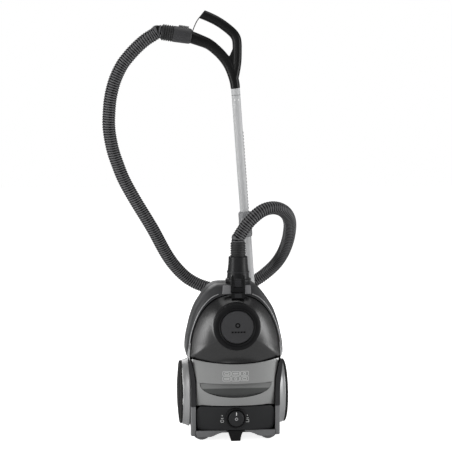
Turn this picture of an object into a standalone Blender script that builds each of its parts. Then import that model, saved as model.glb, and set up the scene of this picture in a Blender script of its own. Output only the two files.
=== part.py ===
"""Bagless cylinder vacuum cleaner, parked standing on its rear end.

The canister stands on its rear foot with its lid side at -Y and its underside at +Y. The wand
stands behind it, hooked to the underside, with the floor head flat on the floor, and the hose
runs from the inlet on top, round behind the canister and up to the grip.

+Z is up, and the origin is the middle of the rear foot's flat underside. All lengths below are
in millimetres: solid() turns them into metres when it makes a mesh.
"""

import math

import bmesh
import bpy
from mathutils import Vector

MM = 0.001
GAP = 0.3  # between pieces that touch

# ---- canister -----------------------------------------------------------------------------
BODY_TOP = 408.0
BODY_BOTTOM = 12.0
BACK_Y = 82.0  # the underside, once the canister lies on its wheels
SIDE_X = 110.0  # flat side beside each wheel
BODY_MID_Z = 205.0  # the outlines shrink towards this height
WALL = 3.0

# Right halves of two matched outlines in X and Z, from the top centre to the bottom centre.
SHELL_OUTLINE = [
    (0, BODY_TOP), (43, BODY_TOP), (62, 400), (76, 386), (90, 366), (103, 344), (114, 314),
    (120.5, 288), (126, 262), (128.5, 237), (127, 222), (119, 210), (112, 198), (SIDE_X, 180),
    (SIDE_X, 100), (SIDE_X, 30), (103, 14), (0, BODY_BOTTOM),
]
MOUTH_OUTLINE = [
    (0, 387), (42, 378), (60, 369), (73, 358), (84, 345), (95, 328.5), (105, 306), (111, 287),
    (116, 262), (118.5, 237), (119, 224), (118, 211), (111, 190), (105, 160), (105, 100),
    (105, 34), (100, 26.5), (0, 26),
]
# Y, and how far the outline has shrunk, from the underside round to the rim and back inside.
SHELL_OUTSIDE = [(BACK_Y, 0.80), (BACK_Y - 4, 0.89), (BACK_Y - 14, 0.955), (48, 0.99), (20, 1.0),
                 (-50, 1.0), (-62, 0.985)]
SHELL_INSIDE = [(-42, 0.965), (44, 0.955), (64, 0.91), (BACK_Y - 9, 0.84), (BACK_Y - 5, 0.74)]
MOUTH_DEPTH = 12.0

LID_OUTLINE = [
    (0, 385), (41, 376), (58.5, 367.2), (71.4, 356.5), (82.3, 343.8), (93.3, 327.6),
    (103.3, 305.4), (109.3, 286.6), (114.3, 261.8), (116.8, 237), (117.2, 225), (112, 219.5),
    (84, 214.5), (45, 210.5), (0, 209),
]
LID_MID = (0.0, 300.0)
LID_EDGE_Y = -75.0
LID_FRONT_Y = -127.0
LID_WALL = 3.0
LID_COLLAR_R = 59.3
LOWER_FRONT_Y = -112.0  # middle of the lid's lower edge and of the cover under it
LOWER_BEND = 30.0  # how far the cover's sides lie behind its middle

HINGE_Z = 208.2  # lid hinge, on the outer face at the lid's lower edge
COVER_BOTTOM = 97.0
RECESS_FLOOR_Y = -99.0

PANEL_TOP = 93.0
PANEL_BOTTOM = 29.0
PANEL_FRONT_Y = -101.0
KNOB_Z = 63.0
KNOB_RING_R = 27.0
KNOB_R = 20.0

CAP_Z = 308.0
CAP_R = 61.0
DISC_R = 43.0

FOOT_HALF = 12.5
FOOT_FRONT_Y = -96.0
FOOT_BACK_Y = 76.0

# ---- wheels -------------------------------------------------------------------------------
WHEEL_Y = 22.0
WHEEL_Z = 108.0
WHEEL_R = 84.5
TYRE_INNER_X = 136.4
WHEEL_OUTER_X = 148.0
ARCH_FLARE_R = 92.0  # where the arch meets the canister's side
ARCH_R = 86.0
ARCH_OUTER_X = 136.0
AXLE_R = 12.0
CASTOR_Z = 318.0
CASTOR_R = 11.0
CASTOR_TRAIL = 20.0

# ---- inlet and hose -----------------------------------------------------------------------
INLET_X = 12.5
INLET_Y = -22.0
HOSE_R = 18.0
SLEEVE_TOP = 517.0
# Hand-chosen route of the hose's centreline between its straight ends, from grip to inlet.
HOSE_ROUTE = [
    (-205, 98, 1066.5), (-224, 98, 1054.5), (-245, 100, 1037), (-269, 101, 1012), (-291, 103, 983),
    (-309, 105, 945), (-320, 108, 905), (-325, 112, 865), (-326, 118, 815), (-317, 128, 760),
    (-303, 138, 716), (-286, 148, 673), (-257, 160, 619), (-208, 178, 536), (-170, 200, 464),
    (-140, 215, 421), (-106, 224, 388), (-66, 227, 367), (-22, 226, 357), (22, 224, 357),
    (60, 221, 367), (95, 214, 388), (122, 203, 411), (143, 184, 437), (157, 158, 467),
    (165, 130, 500), (167, 100, 533), (163, 70, 563), (150, 43, 586), (130, 20, 600),
    (106, 2, 605), (81, -11, 600), (59, -19, 586), (39.5, -22, 567), (22.5, -22.3, 543),
]
HOSE_POINTS = 70
HOSE_STRAIGHT = 9.0

# ---- wand ---------------------------------------------------------------------------------
# A point on the wand's axis at height z lies on the line through these two.
WAND_FOOT = Vector((83.0, 150.0, 90.0))
WAND_HEAD = Vector((17.5, 105.0, 925.0))
LOWER_TUBE_R = 14.5
UPPER_TUBE_R = 12.0
TUBE_WALL = 1.2
COLLAR_R = 18.0
COLLAR_BOTTOM = 517.0
COLLAR_TOP = 587.0
HOOK_Z = 268.0

# ---- grip ---------------------------------------------------------------------------------
GRIP_Y = 103.0
GRIP_LINE = [(-101.5, 1060.5), (-79, 1052.5), (-56, 1043), (-36, 1028), (-17, 1009),
             (-1, 986), (9, 962), (15, 940)]
BAR_LINE = [(-73, 1122.4), (-52, 1114), (-30, 1103), (-8.7, 1088.8), (10, 1073), (18.8, 1060),
            (21.6, 1045), (21.8, 1028), (21.6, 1008), (20, 988), (17, 970), (14, 955)]
GRIP_WEB = [(2, 1014), (12, 1036), (26, 1026), (30, 1000), (26, 972), (18, 958), (4, 972),
            (-8, 996)]
GRIP_RADII = [16.3, 15.8, 15.2, 14.6, 14.2, 14.0, 13.8, 13.8, 13.8, 13.6, 13.3, 13.0, 12.9]
BAR_R = 12.6
BAR_TIP_SLANT = 18.0  # degrees that the bar's end face leans from square
CUFF_START = Vector((-106.6, GRIP_Y - 1, 1063.4))
CUFF_AXIS = Vector((-47.5, -3.0, 6.5))
CUFF_LENGTH = 78.0  # smooth cuff and ribbed sleeve together

# ---- floor head ---------------------------------------------------------------------------
HEAD_X = 80.0
HEAD_HALF = 105.0
HEAD_REAR_Y = 206.0
HEAD_FRONT_Y = 306.0
HEAD_TOP = 38.0
PIVOT_Y = 208.0
PIVOT_Z = 24.0
PEDAL_REAR_Y = 250.0

ROUND = 24  # sides of a large turned piece
SMALL_ROUND = 16

MATERIALS = {
    "graphite": ((0.045, 0.046, 0.05, 1), 0.5, 0.0),
    "smoked": ((0.012, 0.012, 0.014, 1), 0.12, 0.0),
    "silver": ((0.42, 0.43, 0.44, 1), 0.32, 0.6),
    "satin_grey": ((0.2, 0.2, 0.21, 1), 0.4, 0.1),
    "dark_panel": ((0.05, 0.05, 0.053, 1), 0.42, 0.0),
    "black_plastic": ((0.012, 0.012, 0.013, 1), 0.38, 0.0),
    "black_rubber": ((0.01, 0.01, 0.01, 1), 0.8, 0.0),
    "hose_grey": ((0.09, 0.09, 0.095, 1), 0.5, 0.0),
    "aluminium": ((0.72, 0.73, 0.74, 1), 0.25, 1.0),
    "collar_grey": ((0.26, 0.26, 0.27, 1), 0.45, 0.0),
    "steel": ((0.55, 0.55, 0.56, 1), 0.3, 1.0),
    "copper": ((0.6, 0.25, 0.12, 1), 0.35, 1.0),
    "filter_white": ((0.75, 0.75, 0.72, 1), 0.9, 0.0),
    "board_green": ((0.02, 0.12, 0.05, 1), 0.5, 0.0),
    "bristle": ((0.06, 0.06, 0.06, 1), 0.95, 0.0),
    "clear_grey": ((0.12, 0.12, 0.13, 1), 0.1, 0.0),
}


# ---- tools ----------------------------------------------------------------------------------


def clear_scene():
    for obj in list(bpy.data.objects):
        bpy.data.objects.remove(obj, do_unlink=True)


def material(name):
    found = bpy.data.materials.get(name)
    if found:
        return found
    colour, roughness, metallic = MATERIALS[name]
    made = bpy.data.materials.new(name)
    made.use_nodes = True
    shader = made.node_tree.nodes["Principled BSDF"]
    shader.inputs["Base Color"].default_value = colour
    shader.inputs["Roughness"].default_value = roughness
    shader.inputs["Metallic"].default_value = metallic
    return made


def pivot(name, place):
    """An empty on a joint's axis, at a place in millimetres."""
    empty = bpy.data.objects.new(name, None)
    empty.location = Vector(place) * MM
    empty.empty_display_size = 0.02
    bpy.context.collection.objects.link(empty)
    return empty


def solid(name, points, faces, look, parent=None, sharp=35):
    """One closed mesh object from points in millimetres in the object's frame."""
    origin = Vector(parent.location) if parent else Vector()
    bm = bmesh.new()
    made = [bm.verts.new(Vector(point) * MM - origin) for point in points]
    for face in faces:
        bm.faces.new([made[index] for index in face])
    bmesh.ops.recalc_face_normals(bm, faces=bm.faces)
    mesh = bpy.data.meshes.new(name)
    bm.to_mesh(mesh)
    bm.free()
    mesh.shade_smooth()
    mesh.set_sharp_from_angle(angle=math.radians(sharp))
    obj = bpy.data.objects.new(name, mesh)
    bpy.context.collection.objects.link(obj)
    obj.data.materials.append(material(look))
    if parent:
        obj.parent = parent
    return obj


def loft(name, rings, look, closed=False, parent=None, sharp=35):
    """A skin over rings of equally many points; its ends are capped, or joined if closed."""
    count = len(rings[0])
    points = [point for ring in rings for point in ring]
    faces = []
    spans = len(rings) if closed else len(rings) - 1
    for row in range(spans):
        here = row * count
        there = (row + 1) % len(rings) * count
        for column in range(count):
            beside = (column + 1) % count
            faces.append([here + column, here + beside, there + beside, there + column])
    if not closed:
        last = (len(rings) - 1) * count
        faces.append(list(range(count)))
        faces.append(list(range(last + count - 1, last - 1, -1)))
    return solid(name, points, faces, look, parent, sharp)


def turned(name, profile, base, axis, look, sides=ROUND, parent=None, sharp=35):
    """A profile of (radius, height) turned about an axis. It may start and end at radius 0."""
    axis = Vector(axis).normalized()
    side = axis.orthogonal().normalized()
    other = axis.cross(side)
    points = []
    rows = []
    for radius, height in profile:
        middle = Vector(base) + axis * height
        if radius == 0:
            rows.append([len(points)])
            points.append(middle)
            continue
        rows.append(list(range(len(points), len(points) + sides)))
        for step in range(sides):
            angle = math.tau * step / sides
            points.append(middle + (side * math.cos(angle) + other * math.sin(angle)) * radius)
    if profile[0][0] or profile[-1][0]:
        rows.append(rows[0])
    faces = []
    for row, following in zip(rows, rows[1:]):
        for step in range(sides):
            beside = (step + 1) % sides
            if len(row) == 1:
                faces.append([row[0], following[step], following[beside]])
            elif len(following) == 1:
                faces.append([row[step], following[0], row[beside]])
            else:
                faces.append([row[step], following[step], following[beside], row[beside]])
    return solid(name, points, faces, look, parent, sharp)


def prism(name, outline, near, far, look, plane="XZ", parent=None, bevel=0.0):
    """An outline pushed from near to far along the axis that isn't in its plane."""
    place = {
        "XZ": lambda a, b, d: (a, d, b),
        "XY": lambda a, b, d: (a, b, d),
        "YZ": lambda a, b, d: (d, a, b),
    }[plane]
    rings = [[place(a, b, depth) for a, b in outline] for depth in (near, far)]
    obj = loft(name, rings, look, parent=parent)
    if bevel:
        round_edges(obj, bevel)
    return obj


def block(name, low, high, look, parent=None, bevel=0.0):
    outline = [(low[0], low[1]), (high[0], low[1]), (high[0], high[1]), (low[0], high[1])]
    return prism(name, outline, low[2], high[2], look, "XY", parent, bevel)


def round_edges(obj, width, segments=2, angle=30):
    edge = obj.modifiers.new("round_edges", "BEVEL")
    edge.width = width * MM
    edge.segments = segments
    edge.limit_method = "ANGLE"
    edge.angle_limit = math.radians(angle)


def helper(obj):
    obj.hide_render = True
    obj.display_type = "WIRE"
    return obj


def combine(obj, other, operation):
    change = obj.modifiers.new(operation.lower(), "BOOLEAN")
    change.operation = operation
    change.object = helper(other)
    return obj


def cut(obj, cutter):
    return combine(obj, cutter, "DIFFERENCE")


def join(obj, other):
    return combine(obj, other, "UNION")


def mirrored(half):
    """A whole outline from its right half, which starts and ends on the middle line."""
    return list(half) + [(-x, z) for x, z in reversed(half[1:-1])]


def smooth_line(route, count, closed=False):
    """Points evenly spaced along a Catmull-Rom curve through the route."""
    route = [Vector(point) for point in route]
    if closed:
        route = [route[-1]] + route + route[:2]
    else:
        route = [route[0] * 2 - route[1]] + route + [route[-1] * 2 - route[-2]]
    fine = []
    for index in range(1, len(route) - 2):
        a, b, c, d = route[index - 1:index + 3]
        for step in range(16):
            t = step / 16
            fine.append(0.5 * (2 * b + (c - a) * t + (2 * a - 5 * b + 4 * c - d) * t ** 2
                               + (3 * b - a - 3 * c + d) * t ** 3))
    fine.append(route[-2])
    lengths = [0.0]
    for before, after in zip(fine, fine[1:]):
        lengths.append(lengths[-1] + (after - before).length)
    picked = []
    at = 0
    spans = count if closed else count - 1
    for step in range(count):
        goal = lengths[-1] * step / spans
        while at < len(lengths) - 2 and lengths[at + 1] < goal:
            at += 1
        part = (goal - lengths[at]) / (lengths[at + 1] - lengths[at])
        picked.append(fine[at].lerp(fine[at + 1], min(1.0, part)))
    return picked


def tube_rings(line, radius, sides, squash=1.0):
    """Rings square to a line of points, with one radius or one for each point."""
    line = [Vector(point) for point in line]
    radii = radius if isinstance(radius, list) else [radius] * len(line)
    up = (line[1] - line[0]).orthogonal().normalized()
    rings = []
    for index, middle in enumerate(line):
        before = line[max(index - 1, 0)]
        after = line[min(index + 1, len(line) - 1)]
        along = (after - before).normalized()
        up = (up - along * up.dot(along)).normalized()
        across = along.cross(up)
        ring = []
        for step in range(sides):
            angle = math.tau * step / sides
            ring.append(middle + (up * math.cos(angle) + across * math.sin(angle) * squash)
                        * radii[index])
        rings.append(ring)
    return rings


def pipe(name, line, outer, inner, sides, look, parent=None):
    """A hollow tube along a line, open at both ends."""
    rings = tube_rings(line, outer, sides) + tube_rings(line, inner, sides)[::-1]
    return loft(name, rings, look, closed=True, parent=parent)


def wand_at(z):
    part = (z - WAND_FOOT.z) / (WAND_HEAD.z - WAND_FOOT.z)
    return WAND_FOOT.lerp(WAND_HEAD, part)


WAND_AXIS = (WAND_HEAD - WAND_FOOT).normalized()


# ---- canister: casings ------------------------------------------------------------------------


def shrunk(outline, y, scale):
    return [(x * scale, y, BODY_MID_Z + (z - BODY_MID_Z) * scale) for x, z in outline]


def mouth_y(z):
    """Depth of the shell's front edge: set back at the top, further forward at the bottom."""
    return -73.0 - 13.0 * min(1.0, max(0.0, (260 - z) / 110))


def make_lower_shell():
    outline = mirrored(SHELL_OUTLINE)
    mouth = mirrored(MOUTH_OUTLINE)
    rings = [shrunk(outline, y, scale) for y, scale in SHELL_OUTSIDE]
    rings.append([(x, mouth_y(z), z) for x, z in mouth])
    rings.append([(x, mouth_y(z) + MOUTH_DEPTH, z) for x, z in mouth])
    rings += [shrunk(outline, y, scale) for y, scale in SHELL_INSIDE]
    shell = loft("lower_shell", rings, "graphite", sharp=50)
    inlet = turned("inlet_cutter", [(0, 380), (23, 380), (23, 420), (0, 420)],
                   (INLET_X, INLET_Y, 0), (0, 0, 1), "graphite", SMALL_ROUND)
    cut(shell, inlet)
    vent = block("vent_cutter", (-46, BACK_Y - 12, 96), (46, BACK_Y + 6, 160), "graphite")
    cut(shell, vent)
    cord_exit = turned("cord_exit_cutter", [(0, -20), (9, -20), (9, 20), (0, 20)],
                       (-62, 8, BODY_BOTTOM), (0, 0, 1), "graphite", 16)
    return cut(shell, cord_exit)


def lid_front_y(x, z):
    """Front of the lid: a dome that runs down to its edge at the top and sides."""
    low = max(0.0, (250 - z) / 41)
    edge = LID_EDGE_Y + (lower_front_y(x) - LID_EDGE_Y) * min(1.0, low)
    reach = lid_reach(x, z)
    return LID_FRONT_Y + (edge - LID_FRONT_Y) * reach ** 2.6


def lower_front_y(x):
    return LOWER_FRONT_Y + LOWER_BEND * min(1.0, abs(x) / 117) ** 2


def lid_reach(x, z):
    """0 in the middle of the lid and 1 on its outline."""
    dx, dz = x - LID_MID[0], z - LID_MID[1]
    best = 0.0
    outline = mirrored(LID_OUTLINE)
    for (ax, az), (bx, bz) in zip(outline, outline[1:] + outline[:1]):
        ax, az, bx, bz = ax - LID_MID[0], az - LID_MID[1], bx - LID_MID[0], bz - LID_MID[1]
        area = ax * bz - az * bx
        u = (dx * bz - dz * bx) / area
        v = (ax * dz - az * dx) / area
        if u >= -1e-6 and v >= -1e-6:
            best = max(best, u + v)
    return min(1.0, best)


def domed(name, outline, middle, front_y, wall, look, steps, parent=None):
    """A curved sheet over an outline in X and Z, with its front at front_y(x, z)."""
    rings = []
    for offset, order in ((wall, steps), (0.0, steps[::-1])):
        for reach in order:
            ring = []
            for x, z in outline:
                px = middle[0] + (x - middle[0]) * reach
                pz = middle[1] + (z - middle[1]) * reach
                ring.append((px, front_y(px, pz) + offset, pz))
            rings.append(ring)
    return loft(name, rings, look, parent=parent, sharp=50)


def make_lid(hinge):
    """The smoked dome, with a round collar standing out of it that carries the cap."""
    lid = domed("lid_cover", mirrored(LID_OUTLINE), LID_MID, lid_front_y, LID_WALL, "smoked",
                [0.25, 0.5, 0.7, 0.85, 0.94, 1.0], hinge)
    collar = turned("lid_collar", [(LID_COLLAR_R - 3.5, 0), (LID_COLLAR_R, 0),
                                   (LID_COLLAR_R, 38), (LID_COLLAR_R - 3.5, 38)],
                    (0, LID_FRONT_Y, CAP_Z), (0, 1, 0), "smoked", 32, hinge)
    return join(lid, collar)


def make_lid_cap(lid_pivot):
    """The black ribbed ring and grey centre cap that turn together on the lid."""
    base = (0, LID_FRONT_Y - GAP, CAP_Z)
    ring = turned("cap_ring", [(DISC_R + GAP, 0), (CAP_R, 0), (CAP_R, 3), (CAP_R - 3, 8),
                               (CAP_R - 12, 9.5), (DISC_R + 3, 7), (DISC_R + GAP, 4)],
                  base, (0, -1, 0), "black_plastic", 32, lid_pivot)
    disc = turned("cap_disc", [(0, 0), (DISC_R, 0), (DISC_R, 5), (DISC_R - 3, 7),
                               (DISC_R - 20, 8.5), (0, 9)],
                  (0, base[1], CAP_Z), (0, -1, 0), "dark_panel", 32, lid_pivot)
    return ring, disc


def make_silver_cover():
    """Curved silver cover between the lid and the control panel, with a hole for the recess."""
    top = [(x, z - 1.2) for x, z in LID_OUTLINE[-4:]][::-1]
    half = top + [(114.5, 216), (108.5, 186), (102.5, 157), (102, 130), (102, COVER_BOTTOM),
                  (0, COVER_BOTTOM - 1)]
    outline = mirrored(half)

    def front(x, z):
        return lower_front_y(x) + 8.0 * max(0.0, (150 - z) / 53) ** 1.5

    cover = domed("silver_cover", outline, (0, 155), front, WALL, "silver",
                  [0.2, 0.4, 0.6, 0.8, 0.93, 1.0])
    return cut(cover, prism("recess_cutter", recess_outline(0.0), -125, -70, "silver"))


def recess_outline(inset):
    """The finger recess: flat at the top and round below, like a smile."""
    half_width = 93.0 - inset
    top = 155.0 - inset
    depth = 36.0 - 2 * inset
    points = [(half_width, top)]
    for step in range(1, 16):
        angle = math.pi * step / 16
        points.append((half_width * math.cos(angle), top - depth * math.sin(angle) ** 0.8))
    return points + [(-half_width, top)]


def make_recess_cup():
    """Solid floor of the finger recess, set back from the cover."""
    return prism("recess_cup", recess_outline(GAP), RECESS_FLOOR_Y, RECESS_FLOOR_Y + 5,
                 "satin_grey")


def make_control_panel():
    half = [(0, PANEL_TOP), (88, PANEL_TOP), (96, PANEL_TOP - 2), (102, PANEL_TOP - 9),
            (103, PANEL_TOP - 20), (101.5, 45), (98.5, PANEL_BOTTOM), (0, PANEL_BOTTOM)]

    def front(x, z):
        lean = 5.0 * (PANEL_TOP - z) / (PANEL_TOP - PANEL_BOTTOM)
        return PANEL_FRONT_Y + lean + 12.0 * (abs(x) / 103) ** 2

    panel = domed("control_panel", mirrored(half), (0, 62), front, WALL, "dark_panel",
                  [0.3, 0.6, 0.85, 1.0])
    hole = turned("dial_cutter", [(0, -20), (7, -20), (7, 20), (0, 20)],
                  (0, PANEL_FRONT_Y, KNOB_Z), (0, 1, 0), "dark_panel", 16)
    return cut(panel, hole)


def make_dial(knob_pivot):
    base_y = PANEL_FRONT_Y - GAP
    turned("dial_ring", [(KNOB_R + 1, 0), (KNOB_RING_R, 0), (KNOB_RING_R, 3),
                         (KNOB_RING_R - 2, 5), (KNOB_R + 1, 5)],
           (0, base_y, KNOB_Z), (0, -1, 0), "black_plastic", ROUND)
    turned("power_dial", [(0, -9), (6, -9), (6, GAP), (KNOB_R, GAP), (KNOB_R, 10),
                          (KNOB_R - 2, 12), (0, 12.5)],
           (0, base_y, KNOB_Z), (0, -1, 0), "dark_panel", ROUND, knob_pivot)


def make_rim_piping():
    """A thin light bead in the shell's front band, just outside the lid."""
    half = [(44, 384), (61, 376), (76, 362.5), (88.5, 346.5), (100, 325.5), (109, 302),
            (115.4, 280), (119.2, 258), (121, 240)]
    for side, name in ((1, "rim_piping_right"), (-1, "rim_piping_left")):
        route = [(side * x, mouth_y(z) - 3.2, z + 1.5) for x, z in half]
        line = smooth_line(route, 16)
        loft(name, tube_rings(line, 1.5, 8), "silver")


def make_side_trims():
    """Dark strips that close the joint beside the silver cover."""
    for side, name in ((1, "side_trim_right"), (-1, "side_trim_left")):
        outline = [(side * x, z) for x, z in
                   ((104.2, 40), (104.8, 26), (108, 14), (116.5, 14), (117, 24), (117, 140),
                    (119.5, 165), (122.5, 190), (125, 212), (118.2, 213), (114.8, 206),
                    (110.4, 186), (105.9, 165), (104.2, 150))]
        if side < 0:
            outline = outline[::-1]
        strip = prism(name, outline, -92, -87, "dark_panel")
        low, high = sorted((side * 109.5, side * 117))
        join(strip, block(name + "_return", (low, -88, 14), (high, -71.5, 150), "dark_panel"))


def make_rear_foot():
    """A runner the whole depth of the canister that flares out where it meets the casing."""
    profile = [(-FOOT_HALF, 0), (FOOT_HALF, 0), (FOOT_HALF + 1, 6), (FOOT_HALF + 3, 11.7),
               (-FOOT_HALF - 3, 11.7), (-FOOT_HALF - 1, 6)]
    foot = prism("rear_foot", profile, FOOT_FRONT_Y, FOOT_BACK_Y, "dark_panel")
    flare = [(-15, 8), (15, 8), (16.5, 14), (18.5, 20), (21.5, 28.4), (-21.5, 28.4),
             (-18.5, 20), (-16.5, 14)]
    front = prism("foot_flare", flare, FOOT_FRONT_Y, FOOT_FRONT_Y + 6.5, "dark_panel")
    return join(foot, front)


def make_rear_pads():
    """Shallow humps under the rear corners, beside the runner, that it stands on."""
    hump = [(58, 11.6), (66, 9), (74, 4), (82, 0.8), (88, 0), (94, 0.8), (102, 4.5), (107, 9),
            (108, 11.6)]
    for side, name in ((1, "rear_pad_right"), (-1, "rear_pad_left")):
        prism(name, [(side * x, z) for x, z in hump[::side]], -78, -6, "satin_grey")


# ---- canister: nose ------------------------------------------------------------------------


def make_nose():
    left, right = -34.0, 41.0
    rail_left, rail_right = -11.8, 24.6
    trim = [(left, 386.5), (right, 386.5), (right, 409), (rail_right, 409), (rail_right, 391),
            (rail_left, 391), (rail_left, 409), (left, 409)]
    prism("nose_trim", trim, -85, -75.4, "satin_grey", bevel=1.0)
    low, high = rail_left + GAP, rail_right - GAP
    rail = 7.0
    frame = [(low, 391.5), (high, 391.5), (high, 435), (high - rail, 435), (high - rail, 404),
             (low + rail, 404), (low + rail, 435), (low, 435)]
    prism("latch_frame", frame, -88, -72, "black_plastic", bevel=1.0)


def make_latch_button():
    block("latch_button", (-4, -86.5, 404.8), (16.8, -78, 425.5), "collar_grey", bevel=1.2)


def make_inlet():
    base = (INLET_X, INLET_Y, 0)
    turned("inlet_socket", [(17, 378), (21.8, 378), (21.8, 408.4), (33, 408.4), (33, 412),
                            (17, 412)], base, (0, 0, 1), "black_plastic", ROUND)
    turned("hose_connector", [(12, 412.4), (32.5, 412.4), (33.5, 415), (33.5, 420), (29.5, 422),
                              (29, 432), (26, 456), (25, 479), (12, 479)],
           base, (0, 0, 1), "dark_panel", ROUND)
    turned("inlet_sleeve", [(12, 479.3), (20.5, 479.3), (20.5, SLEEVE_TOP), (12, SLEEVE_TOP)],
           base, (0, 0, 1), "black_rubber", SMALL_ROUND)


def make_hose():
    along = CUFF_AXIS.normalized()
    grip_end = CUFF_START + along * (CUFF_LENGTH + GAP)
    inlet_end = Vector((INLET_X, INLET_Y, SLEEVE_TOP + GAP))
    route = [grip_end + along * HOSE_STRAIGHT, *HOSE_ROUTE,
             inlet_end + Vector((0, 0, HOSE_STRAIGHT))]
    line = [grip_end, *smooth_line(route, HOSE_POINTS - 2), inlet_end]
    data = bpy.data.curves.new("hose", "CURVE")
    data.dimensions = "3D"
    spline = data.splines.new("POLY")
    spline.points.add(len(line) - 1)
    for spot, place in zip(spline.points, line):
        spot.co = (*(place * MM), 1.0)
    data.bevel_depth = HOSE_R * MM
    data.bevel_resolution = 2
    data.use_fill_caps = True
    hose = bpy.data.objects.new("hose", data)
    bpy.context.collection.objects.link(hose)
    data.materials.append(material("hose_grey"))
    return hose


# ---- canister: wheels -------------------------------------------------------------------------


def make_wheel(side, name):
    axle_base = (0, WHEEL_Y, WHEEL_Z)
    out = (side, 0, 0)
    arch = turned("wheel_arch_" + name,
                  [(AXLE_R + 1, SIDE_X + 1.3), (79, SIDE_X + 1.3), (ARCH_FLARE_R, SIDE_X + 7.4),
                   (ARCH_FLARE_R, SIDE_X + 8.6), (ARCH_R + 2, SIDE_X + 16),
                   (ARCH_R, ARCH_OUTER_X), (82, ARCH_OUTER_X), (82, SIDE_X + 5),
                   (AXLE_R + 1, SIDE_X + 4.5)],
                  axle_base, out, "silver", 32)
    low, high = sorted((side * 100, side * 145))
    cut(arch, block("arch_cutter_" + name, (low, BACK_Y + 4, 0), (high, 125, 220), "silver"))
    turned("axle_" + name, [(0, SIDE_X + GAP), (AXLE_R, SIDE_X + GAP), (AXLE_R, ARCH_OUTER_X),
                            (0, ARCH_OUTER_X)], axle_base, out, "steel", SMALL_ROUND)
    hub_pivot = pivot("wheel_pivot_" + name, axle_base)
    turned("wheel_" + name,
           [(0, WHEEL_OUTER_X), (38, WHEEL_OUTER_X - 0.8), (66, WHEEL_OUTER_X - 3.2),
            (75.7, WHEEL_OUTER_X - 5), (75.7, TYRE_INNER_X), (19, TYRE_INNER_X),
            (19, 119), (AXLE_R + 0.4, 119), (AXLE_R + 0.4, ARCH_OUTER_X + 0.6),
            (0, ARCH_OUTER_X + 0.6)],
           axle_base, out, "black_plastic", 32, hub_pivot)
    turned("tyre_" + name,
           [(76, TYRE_INNER_X), (WHEEL_R - 1, TYRE_INNER_X), (WHEEL_R, TYRE_INNER_X + 1.5),
            (WHEEL_R, TYRE_INNER_X + 4), (WHEEL_R - 2.5, TYRE_INNER_X + 6.3),
            (76, TYRE_INNER_X + 6.8)],
           axle_base, out, "black_rubber", 32, hub_pivot)


def make_castor():
    """Small front wheel under the nose, hanging straight down from its swivel."""
    base = (0, BACK_Y + GAP, CASTOR_Z)
    swivel = pivot("castor_pivot", base)
    fork = turned("castor_fork", [(0, 0), (12, 0), (12, 2.6), (10, 3.6), (0, 3.6)],
                  base, (0, 1, 0), "black_plastic", SMALL_ROUND, swivel)
    axle_y, axle_z = BACK_Y + 13.5, CASTOR_Z - CASTOR_TRAIL
    for side in (-1, 1):
        low, high = sorted((side * 7, side * 10.5))
        arm = [(BACK_Y + 2, CASTOR_Z + 4), (BACK_Y + 2, axle_z - 5), (axle_y + 4, axle_z - 5),
               (axle_y + 4, axle_z + 5)]
        join(fork, prism("castor_arm", arm, low, high, "black_plastic", "YZ"))
    join(fork, turned("castor_pin", [(0, -8), (2, -8), (2, 8), (0, 8)],
                      (0, axle_y, axle_z), (1, 0, 0), "black_plastic", 10))
    roll = pivot("castor_wheel_pivot", (0, axle_y, axle_z))
    turned("castor_wheel", [(2.4, -6.3), (CASTOR_R - 1.2, -6.3), (CASTOR_R, -5), (CASTOR_R, 5),
                            (CASTOR_R - 1.2, 6.3), (2.4, 6.3)],
           (0, axle_y, axle_z), (1, 0, 0), "black_rubber", SMALL_ROUND, roll)


# ---- canister: inside -------------------------------------------------------------------------


def make_dust_bin():
    """Cup behind the lid, open towards the lid, with the cyclone's cone standing in it."""
    base = (0, 0, CAP_Z - 6)
    turned("dust_bin", [(0, 42), (66, 42), (72, 36), (74, -72), (71, -72), (69, 34), (64, 39),
                        (0, 39)], base, (0, 1, 0), "clear_grey", ROUND)
    turned("cyclone_cone", [(0, 38.6), (14, 38.6), (40, -30), (40, -62), (30, -70), (0, -70)],
           base, (0, 1, 0), "satin_grey", ROUND)


def make_motor_group():
    base = (0, 10, 0)
    turned("fan_housing", [(0, 196), (52, 196), (56, 190), (56, 168), (50, 162), (0, 162)],
           base, (0, 0, 1), "satin_grey", ROUND)
    turned("motor", [(0, 161.6), (43, 161.6), (43, 112), (38, 84), (12, 84), (12, 74), (0, 74)],
           base, (0, 0, 1), "steel", ROUND)
    turned("motor_winding", [(43.4, 154), (49, 152), (49, 122), (43.4, 120)],
           base, (0, 0, 1), "copper", ROUND)
    block("motor_filter", (-46, -34, 196.6), (46, 54, 212), "filter_white", bevel=2.0)
    block("motor_mount", (-56, -8, 56), (56, 28, 72), "black_rubber", bevel=2.0)


def make_electrics():
    block("circuit_board", (-58, -86.5, 34), (58, -84.9, 88), "board_green")
    turned("cord_outlet", [(4.5, -3), (12, -3), (12, -0.4), (8.7, -0.4), (8.7, 6), (4.5, 6)],
           (-62, 8, BODY_BOTTOM), (0, 0, 1), "black_rubber", 16)


def make_exhaust():
    block("exhaust_filter", (-45, BACK_Y - 21, 97), (45, BACK_Y - 12.5, 159), "filter_white")
    grille = block("exhaust_grille", (-45.5, BACK_Y - 4, 96.5), (45.5, BACK_Y + 1, 159.5),
                   "dark_panel")
    for row in range(6):
        low = 103 + row * 9.2
        cut(grille, block("grille_slot", (-38, BACK_Y - 10, low), (38, BACK_Y + 8, low + 4.6),
                          "dark_panel"))


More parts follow.
